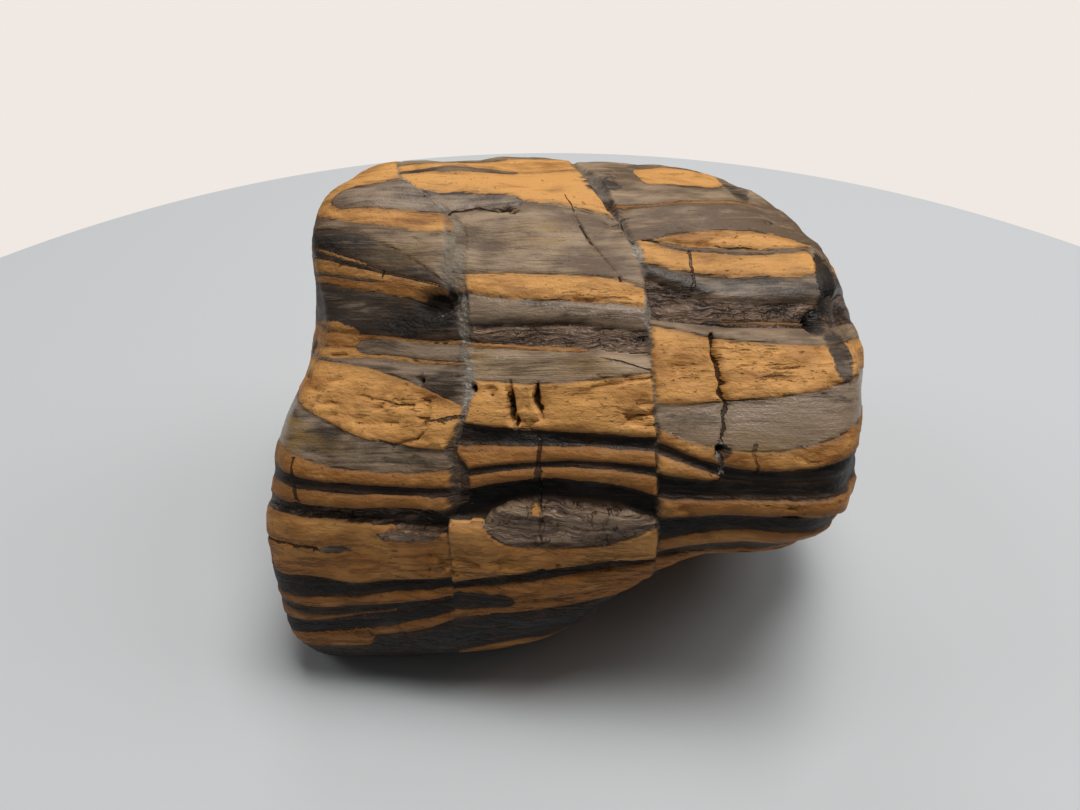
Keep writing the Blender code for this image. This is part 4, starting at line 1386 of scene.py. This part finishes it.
    def find_beds(self) -> None:
        """Work out each place's finish, tone and distance from the nearest bed border."""
        feather = self.add(Step.PRODUCT_PLUS, self.add(Step.RISE, self.depth, *CROWN_TURN), 0.5, 0.08)
        feather = self.add(Step.PRODUCT, feather, self.add(Step.DIFFERENCE, self.threads, 0.5))
        shift = self.add(Step.PRODUCT_PLUS, self.wobble, 0.30, feather)
        codes = []
        tones = []
        borders = []
        for number, part in enumerate(SLICES):
            bed = self.past_closed(number, self.add(Step.SUM, self.beds[number], shift))
            where = self.add(Step.PRODUCT, bed, 1.0 / BED_ROWS)
            rows = [(*item.finish.value, item.tone) for item in part.beds]
            code, tone = self.look_up(f"beds, {part.name} slice", where, BED_ROWS, rows).node.outputs
            share = self.add(Step.FRACTION, bed)
            inner = self.add(Step.SMALLER, share, self.add(Step.DIFFERENCE, 1.0, share))
            codes.append(code)
            tones.append(tone)
            borders.append(self.add(Step.PRODUCT, inner, self.spans[number]))
        self.border = self.by_slice(Step.VALUE_MIX, borders)
        outside = self.add(Step.PRODUCT_PLUS, self.ragged, 1.8, self.inclusions[0])
        within = self.add(Step.RISE, outside, *INCLUSION_EDGE)
        where = self.add(Step.PRODUCT_PLUS, self.inclusions[1], 1.0 / INCLUSION_ROWS, 0.06)
        rows = [(*finish.value, 1.0) for finish in Finish]
        included = self.look_up("inclusions", where, INCLUSION_ROWS, rows)
        code = self.add(Step.COLOUR_MIX, within, self.by_slice(Step.COLOUR_MIX, codes), included)
        tone = self.by_slice(Step.VALUE_MIX, tones)
        self.tone = self.add(Step.VALUE_MIX, within, tone, self.inclusions[2])
        self.ochre, self.grey, self.lined = self.add(Step.COLOUR_PARTS, code).node.outputs
        self.fibrous = self.add(Step.PRODUCT, self.lined, self.add(Step.DIFFERENCE, 1.0, self.grey))

    def finish_colour(self, colours: RockColours, tone: Socket | float) -> Socket:
        """Colour of one finish: a clouded and streaked body of two shades, then stains and threads.

        Args:
            colours: the finish's colours.
            tone: the bed's lightness.

        Returns:
            The colour.
        """
        streaks = self.add(Step.PRODUCT_PLUS, self.streaks, colours.streaked, -0.5 * colours.streaked)
        lightness = self.add(Step.PRODUCT_PLUS, tone, 0.44, -0.22)
        mixed = self.add(Step.SUM, self.add(Step.SUM, self.clouds, streaks), lightness)
        shade = self.add(Step.RISE, mixed, *BODY_SHADES)
        colour = self.add(Step.COLOUR_MIX, shade, linear(colours.dark), linear(colours.light))
        stained = self.add(Step.RISE, self.staining, *STAIN_EDGE)
        colour = self.mark(colour, colours.stain, stained, colours.stained)
        threaded = self.add(Step.RISE, self.threads, *THREAD_EDGE)
        return self.mark(colour, colours.thread, threaded, colours.threaded)

    def fibre_colour(self, tone: Socket | float) -> Socket:
        """Colour of fibrous ironstone: painted shade between fibres, brown along them, and a painted tan
        highlight where they stand proud.
        """
        colours = FIBROUS_IRONSTONE
        raised = self.add(Step.SUM, self.fibres, self.add(Step.PRODUCT_PLUS, tone, 0.20, -0.08))
        shade = self.add(Step.RISE, raised, *FIBRE_SIDE)
        colour = self.add(Step.COLOUR_MIX, shade, linear(colours.dark), linear(colours.light))
        colour = self.mark(colour, colours.thread, self.add(Step.RISE, raised, *FIBRE_TOP), strength=0.8)
        stained = self.add(Step.RISE, self.clouds, *FIBRE_STAIN_EDGE)
        colour = self.mark(colour, colours.stain, stained, strength=0.45)
        return self.mark(colour, CRACK_SHADE, self.splits, strength=0.8)

    def body(self) -> tuple[Socket, Socket]:
        """The beds' own colour and roughness."""
        dark, ochre, grey, weathered = (
            self.finish_colour(colours, self.tone)
            for colours in (DARK_IRONSTONE, OCHRE_CHERT, GREY_IRONSTONE, WEATHERED_IRONSTONE)
        )
        colour = self.add(Step.COLOUR_MIX, self.ochre, dark, ochre)
        greys = self.add(Step.COLOUR_MIX, self.lined, grey, weathered)
        colour = self.add(Step.COLOUR_MIX, self.grey, colour, greys)
        colour = self.add(Step.COLOUR_MIX, self.fibrous, colour, self.fibre_colour(self.tone))
        dulled = self.add(Step.RISE, self.tone, *DARK_TONES)
        rough = self.add(Step.PRODUCT_PLUS, dulled, DARK_DULLED, DARK_IRONSTONE.roughness)
        rough = self.add(Step.VALUE_MIX, self.ochre, rough, OCHRE_CHERT.roughness)
        greys = self.add(Step.PRODUCT_PLUS, dulled, GREY_DULLED, GREY_IRONSTONE.roughness)
        greys = self.add(Step.VALUE_MIX, self.lined, greys, WEATHERED_IRONSTONE.roughness)
        rough = self.add(Step.VALUE_MIX, self.grey, rough, greys)
        return colour, self.add(Step.VALUE_MIX, self.fibrous, rough, FIBROUS_IRONSTONE.roughness)

    def border_marks(self, colour: Socket) -> Socket:
        """Brown the rock towards each bed border, and draw a broken dark line on it: partly a parting between
        beds, partly painted shade under their edges.
        """
        uneven = self.add(Step.PRODUCT_PLUS, self.add(Step.RISE, self.clouds, *CLOUD_EDGE), 0.35, 0.20)
        near = self.add(Step.PRODUCT, self.add(Step.RISE, self.border, *BORDER_REACHED), uneven)
        colour = self.add(Step.COLOUR_MIX, near, colour, linear(BED_BORDER))
        broken = self.add(Step.RISE, self.staining, *LINE_BROKEN)
        self.edge_line = self.add(Step.PRODUCT, self.add(Step.RISE, self.border, *BORDER_LINE), broken)
        return self.mark(colour, CRACK_SHADE, self.edge_line, strength=0.7)

    def patch_marks(self, colour: Socket) -> Socket:
        """Tan stains, and black that is dark staining in some patches and painted shade in hollows, cavities
        and holes in others.
        """
        tan = self.add(Step.PRODUCT, self.stains_and_shade[1], self.add(Step.RISE, self.staining, *TAN_EDGE))
        colour = self.add(Step.COLOUR_MIX, tan, colour, linear(TAN_STAIN))
        uneven = self.add(Step.PRODUCT_PLUS, self.ragged, 1.1, self.stains_and_shade[0])
        uneven = self.add(Step.PRODUCT_PLUS, self.wobble, 0.8, uneven)
        within = self.add(Step.RISE, self.stains_and_shade[0], *BLACK_LIMIT)
        dark = self.add(Step.PRODUCT, self.add(Step.RISE, uneven, *BLACK_EDGE), within)
        streaked = self.add(Step.PRODUCT_PLUS, self.streaks, 0.8, 0.45)
        dark = self.add(Step.PRODUCT, dark, streaked, use_clamp=True)
        return self.add(Step.COLOUR_MIX, dark, colour, linear(BLACK_STAIN_AND_HOLLOW_SHADE))

    def flake_marks(self, colour: Socket) -> Socket:
        """Brown flakes along the lowest beds, and a darker, richer ochre there that is painted shade on the
        stone's foot.
        """
        low = self.add(Step.RISE, self.depth, *FOOT_TURN)
        colour = self.mark(colour, FOOT_SHADE_OCHRE, self.add(Step.PRODUCT, low, self.ochre), strength=0.4)
        self.flake = self.add(Step.PRODUCT, low, self.add(Step.RISE, self.lay(FLAKES), *FLAKE_EDGE))
        return self.mark(colour, BROWN_FLAKE, self.flake, strength=0.24)

    def find_cracks(self) -> None:
        """Where cracks are open: broken up and of uneven width, and how far pale mineral fills them."""
        side, half, filled = self.cracks
        away = self.add(Step.SIZE, self.add(Step.PRODUCT_PLUS, self.wobble, 0.30, side))
        uneven = self.add(Step.PRODUCT_PLUS, self.lay(CRACK_WIDTH), 3.6, -0.95)
        inside = self.add(Step.DIFFERENCE, self.add(Step.PRODUCT, half, uneven), away)
        inside = self.add(Step.PRODUCT_PLUS, self.ragged, 0.22, inside)
        line = self.add(Step.RISE, inside, *CRACK_EDGE)
        line = self.add(Step.PRODUCT, line, self.add(Step.RISE, half, *CRACK_THERE))
        near = self.add(Step.RISE, self.add(Step.DIFFERENCE, self.flecks_and_pit_shade[2], half), *CRACK_LIMIT)
        wide = self.add(Step.RISE, half, *CRACK_WIDE)
        whole = self.add(Step.LARGER, wide, self.add(Step.RISE, self.clouds, *BROKEN_UP))
        self.opened = self.add(Step.PRODUCT, self.add(Step.PRODUCT, line, near), whole)
        self.filled = self.add(Step.PRODUCT, self.opened, filled)

    def find_slits(self) -> None:
        """Where small slits and pores are open along the beds, crowded where the stone is eroded."""
        eroded = self.stains_and_shade[2]
        density = self.add(Step.PRODUCT_PLUS, self.clouds, 0.36, -0.24)
        density = self.add(Step.PRODUCT_PLUS, eroded, 0.16, density)
        fine = self.add(Step.SUM, self.lay(SLITS), density)
        where = self.add(Step.LARGER, self.ochre, self.add(Step.PRODUCT, self.lined, 0.35))
        where = self.add(Step.LARGER, where, eroded)
        self.groove = self.add(Step.PRODUCT, self.add(Step.RISE, fine, *GROOVE_EDGE), where)
        self.slit = self.add(Step.PRODUCT, self.add(Step.RISE, fine, *SLIT_EDGE), where)
        pores = self.add(Step.PRODUCT_PLUS, density, 0.5, self.lay(PORES))
        self.pores = self.add(Step.PRODUCT, self.add(Step.RISE, pores, *PORE_EDGE), where)

    def vein_marks(self, colour: Socket, rough: Socket) -> tuple[Socket, Socket]:
        """Fill the veins with dull crushed rock, and find where pale quartz grains lie."""
        pale, dark, _ = self.fill
        outside = self.add(Step.PRODUCT_PLUS, self.ragged, 1.8, self.sides[2])
        outside = self.add(Step.PRODUCT_PLUS, self.wobble, 0.9, outside)
        self.in_vein = self.add(Step.RISE, outside, *VEIN_WALL)
        rock = self.add(Step.COLOUR_MIX, dark, self.finish_colour(VEIN_ROCK, 0.7), self.fibre_colour(0.0))
        uneven = self.add(Step.PRODUCT_PLUS, self.add(Step.RISE, self.clouds, *CLOUD_EDGE), 0.45, 0.25)
        packed = self.add(Step.SUM, pale, dark)
        packed = self.add(Step.PRODUCT_PLUS, packed, 0.8, uneven, use_clamp=True)
        share = self.add(Step.PRODUCT, self.in_vein, self.add(Step.PRODUCT, packed, 0.88))
        colour = self.add(Step.COLOUR_MIX, share, colour, rock)
        rough = self.add(Step.VALUE_MIX, self.in_vein, rough, VEIN_ROCK.roughness)
        quartz = self.add(Step.PRODUCT, self.in_vein, self.add(Step.PRODUCT, pale, 0.75))
        quartz = self.add(Step.LARGER, quartz, self.add(Step.PRODUCT, self.flecks_and_pit_shade[0], 0.8))
        quartz = self.add(Step.LARGER, quartz, self.filled)
        specks = self.add(Step.PRODUCT_PLUS, quartz, 0.30, self.lay(QUARTZ_GRAINS))
        some = self.add(Step.RISE, quartz, *QUARTZ_LIMIT)
        self.grains = self.add(Step.PRODUCT, self.add(Step.RISE, specks, *QUARTZ_EDGE), some)
        return colour, rough

    def openings(self, colour: Socket, rough: Socket) -> tuple[Socket, Socket]:
        """Paint shade into slits, pores, cracks and pits, and lay the quartz grains over them."""
        colour = self.mark(colour, SLIT_SHADE, self.pores, strength=0.32)
        colour = self.mark(colour, SLIT_SHADE, self.slit, strength=0.75)
        colour = self.mark(colour, CRACK_SHADE, self.opened, strength=0.85)
        quartz = self.finish_colour(VEIN_QUARTZ, 0.5)
        colour = self.add(Step.COLOUR_MIX, self.add(Step.PRODUCT, self.grains, 0.75), colour, quartz)
        # Painted shade on the floors of pits.
        inner = self.add(Step.PRODUCT_PLUS, self.ragged, 0.7, self.flecks_and_pit_shade[1])
        inner = self.add(Step.RISE, inner, *PIT_EDGE)
        colour = self.mark(colour, PIT_SHADE, inner, strength=0.85)
        hollow = self.add(Step.LARGER, self.add(Step.LARGER, self.opened, inner), self.slit)
        return colour, self.add(Step.VALUE_MIX, hollow, rough, HOLLOW_ROUGHNESS)

    def bump_height(self) -> Socket:
        """Fine relief in millimetres: grain, lines along the beds, fibres, rubble in veins, and openings."""
        high = self.add(Step.VALUE_MIX, self.lined, THREAD_HEIGHT, LINED_THREAD_HEIGHT)
        high = self.add(Step.VALUE_MIX, self.ochre, high, OCHRE_THREAD_HEIGHT)
        height = self.add(Step.PRODUCT, self.threads, high)
        height = self.add(Step.PRODUCT_PLUS, self.grain, GRAIN_HEIGHT, height)
        high = self.add(Step.VALUE_MIX, self.grey, LUMP_HEIGHT, GREY_LUMP_HEIGHT)
        height = self.add(Step.PRODUCT_PLUS, self.lay(LUMPS), high, height)
        fibres = self.add(Step.PRODUCT, self.fibres, FIBRE_HEIGHT)
        fibres = self.add(Step.PRODUCT_PLUS, self.splits, -SPLIT_DEPTH, fibres)
        height = self.add(Step.VALUE_MIX, self.fibrous, height, fibres)
        crushed = self.add(Step.PRODUCT_PLUS, self.ragged, CRUSHED_HEIGHT, 0.3)
        height = self.add(Step.VALUE_MIX, self.add(Step.PRODUCT, self.in_vein, 0.8), height, crushed)
        rubble = self.add(Step.RISE, self.stains_and_shade[0], *RUBBLE_EDGE)
        height = self.add(Step.PRODUCT_PLUS, rubble, self.ragged, height)
        sunk = (self.groove, self.pores, self.flake, self.opened, self.edge_line)
        for share, deep in zip(sunk, SUNK):
            height = self.add(Step.PRODUCT_PLUS, share, -deep, height)
        return height

    def dress(self) -> bpy.types.Material:
        """Build the node tree.

        Returns:
            The finished material.
        """
        self.find_beds()
        self.find_cracks()
        self.find_slits()
        colour, rough = self.body()
        colour = self.flake_marks(colour)
        colour = self.patch_marks(self.border_marks(colour))
        colour, rough = self.vein_marks(colour, rough)
        colour, rough = self.openings(colour, rough)
        uneven = self.add(Step.DIFFERENCE, self.add(Step.SUM, self.grain, self.streaks), 1.0)
        rough = self.add(Step.PRODUCT_PLUS, uneven, 0.3, rough, use_clamp=True)
        bump = self.add(Step.BUMP, 1.0, MM, self.bump_height())
        shader = self.add(Step.SURFACE, colour, rough, bump).node
        shader.inputs["IOR"].default_value = ROCK_IOR
        shader.inputs["Specular IOR Level"].default_value = ROCK_SPECULAR
        self.add(Step.FINISHED, shader.outputs[0])
        return self.material


@dataclass(frozen=True)
class Lamp:
    """One square soft light: where it hangs, how wide it is, and its power."""

    name: str
    place: tuple[float, float, float]
    size: float
    watts: float


@dataclass
class Studio:
    """A pale round floor, soft lights overhead, and the camera."""

    floor_radius: float = 264.0
    floor_thickness: float = 20.0
    floor_colour: str = "#c8cacb"
    wall_colour: str = "#f0e9e3"
    dim_colour: str = "#f0f0ee"
    dim_strength: float = 0.08
    lamps: tuple[Lamp, ...] = (
        Lamp("main panel", (0.15, 0.10, 1.20), 0.60, 11.3),
        Lamp("left panel", (-1.20, 0.05, 1.20), 0.60, 2.8),
        Lamp("right panel", (1.15, 0.20, 1.20), 0.90, 5.8),
        Lamp("rear panel", (-0.25, 1.00, 1.20), 0.50, 2.2),
    )
    camera_at: tuple[float, float, float] = (-6.2, -153.4, 149.0)
    camera_pitch: float = 36.5
    lens: float = 27.72

    def build_floor(self) -> None:
        """A round, satin, pale table top."""
        thick = self.floor_thickness * MM
        bpy.ops.mesh.primitive_cylinder_add(
            vertices=256, radius=self.floor_radius * MM, depth=thick, location=(0.0, 0.0, -thick / 2.0),
        )
        floor = bpy.context.object
        floor.name = "floor"
        material = bpy.data.materials.new("Laminate, pale grey, satin")
        material.use_nodes = True
        tree = material.node_tree
        shader = tree.nodes["Principled BSDF"]
        shader.inputs["Base Color"].default_value = linear(self.floor_colour)
        shader.inputs["Roughness"].default_value = 0.8
        shader.inputs["Specular IOR Level"].default_value = 0.05
        floor.data.materials.append(material)
        floor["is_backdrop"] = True

    def build_lamps(self) -> None:
        """Hang the lamps, each turned towards the stone."""
        for item in self.lamps:
            data = bpy.data.lights.new(item.name, "AREA")
            data.size = item.size
            data.energy = item.watts
            lamp = bpy.data.objects.new(item.name, data)
            lamp.location = item.place
            x, y, z = item.place
            lamp.rotation_euler = (math.atan2(math.hypot(x, y), z), 0.0, math.atan2(y, x) + math.pi / 2.0)
            bpy.context.scene.collection.objects.link(lamp)

    def build_room(self) -> None:
        """A pale room that the camera sees, and that lights the stone only dimly."""
        world = bpy.data.worlds.new("pale room")
        bpy.context.scene.world = world
        world.use_nodes = True
        tree = world.node_tree
        tree.nodes.clear()
        dim = add(tree, Step.GLOW, linear(self.dim_colour), self.dim_strength)
        bright = add(tree, Step.GLOW, linear(self.wall_colour), 1.0)
        add(tree, Step.ROOM, add(tree, Step.GLOW_MIX, add(tree, Step.SEEN_DIRECTLY), dim, bright))

    def build_camera(self) -> None:
        """A close camera looking down on the stone's front."""
        data = bpy.data.cameras.new("camera")
        data.sensor_width = 36.0
        data.lens = self.lens
        data.clip_start = 0.01
        camera = bpy.data.objects.new("camera", data)
        camera.location = tuple(value * MM for value in self.camera_at)
        camera.rotation_euler = (math.radians(90.0 - self.camera_pitch), 0.0, 0.0)
        bpy.context.scene.collection.objects.link(camera)
        bpy.context.scene.camera = camera

    def build(self) -> None:
        """Set up the floor, the lamps, the room and the camera."""
        self.build_floor()
        self.build_lamps()
        self.build_room()
        self.build_camera()
        bpy.context.scene.view_settings.view_transform = "Standard"


def main() -> None:
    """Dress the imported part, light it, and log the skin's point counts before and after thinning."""
    logging.basicConfig(level=logging.INFO)
    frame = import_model()
    LOG.info("dressing %s", ", ".join(sorted(frame["nodes"])))
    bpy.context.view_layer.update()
    skin = StoneSkin()
    stone = skin.build()
    stone.data.materials.clear()
    stone.data.materials.append(StoneMaterial().dress())
    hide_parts("stone")
    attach(stone, "root")
    Studio().build()


if __name__ == "__main__":
    main()
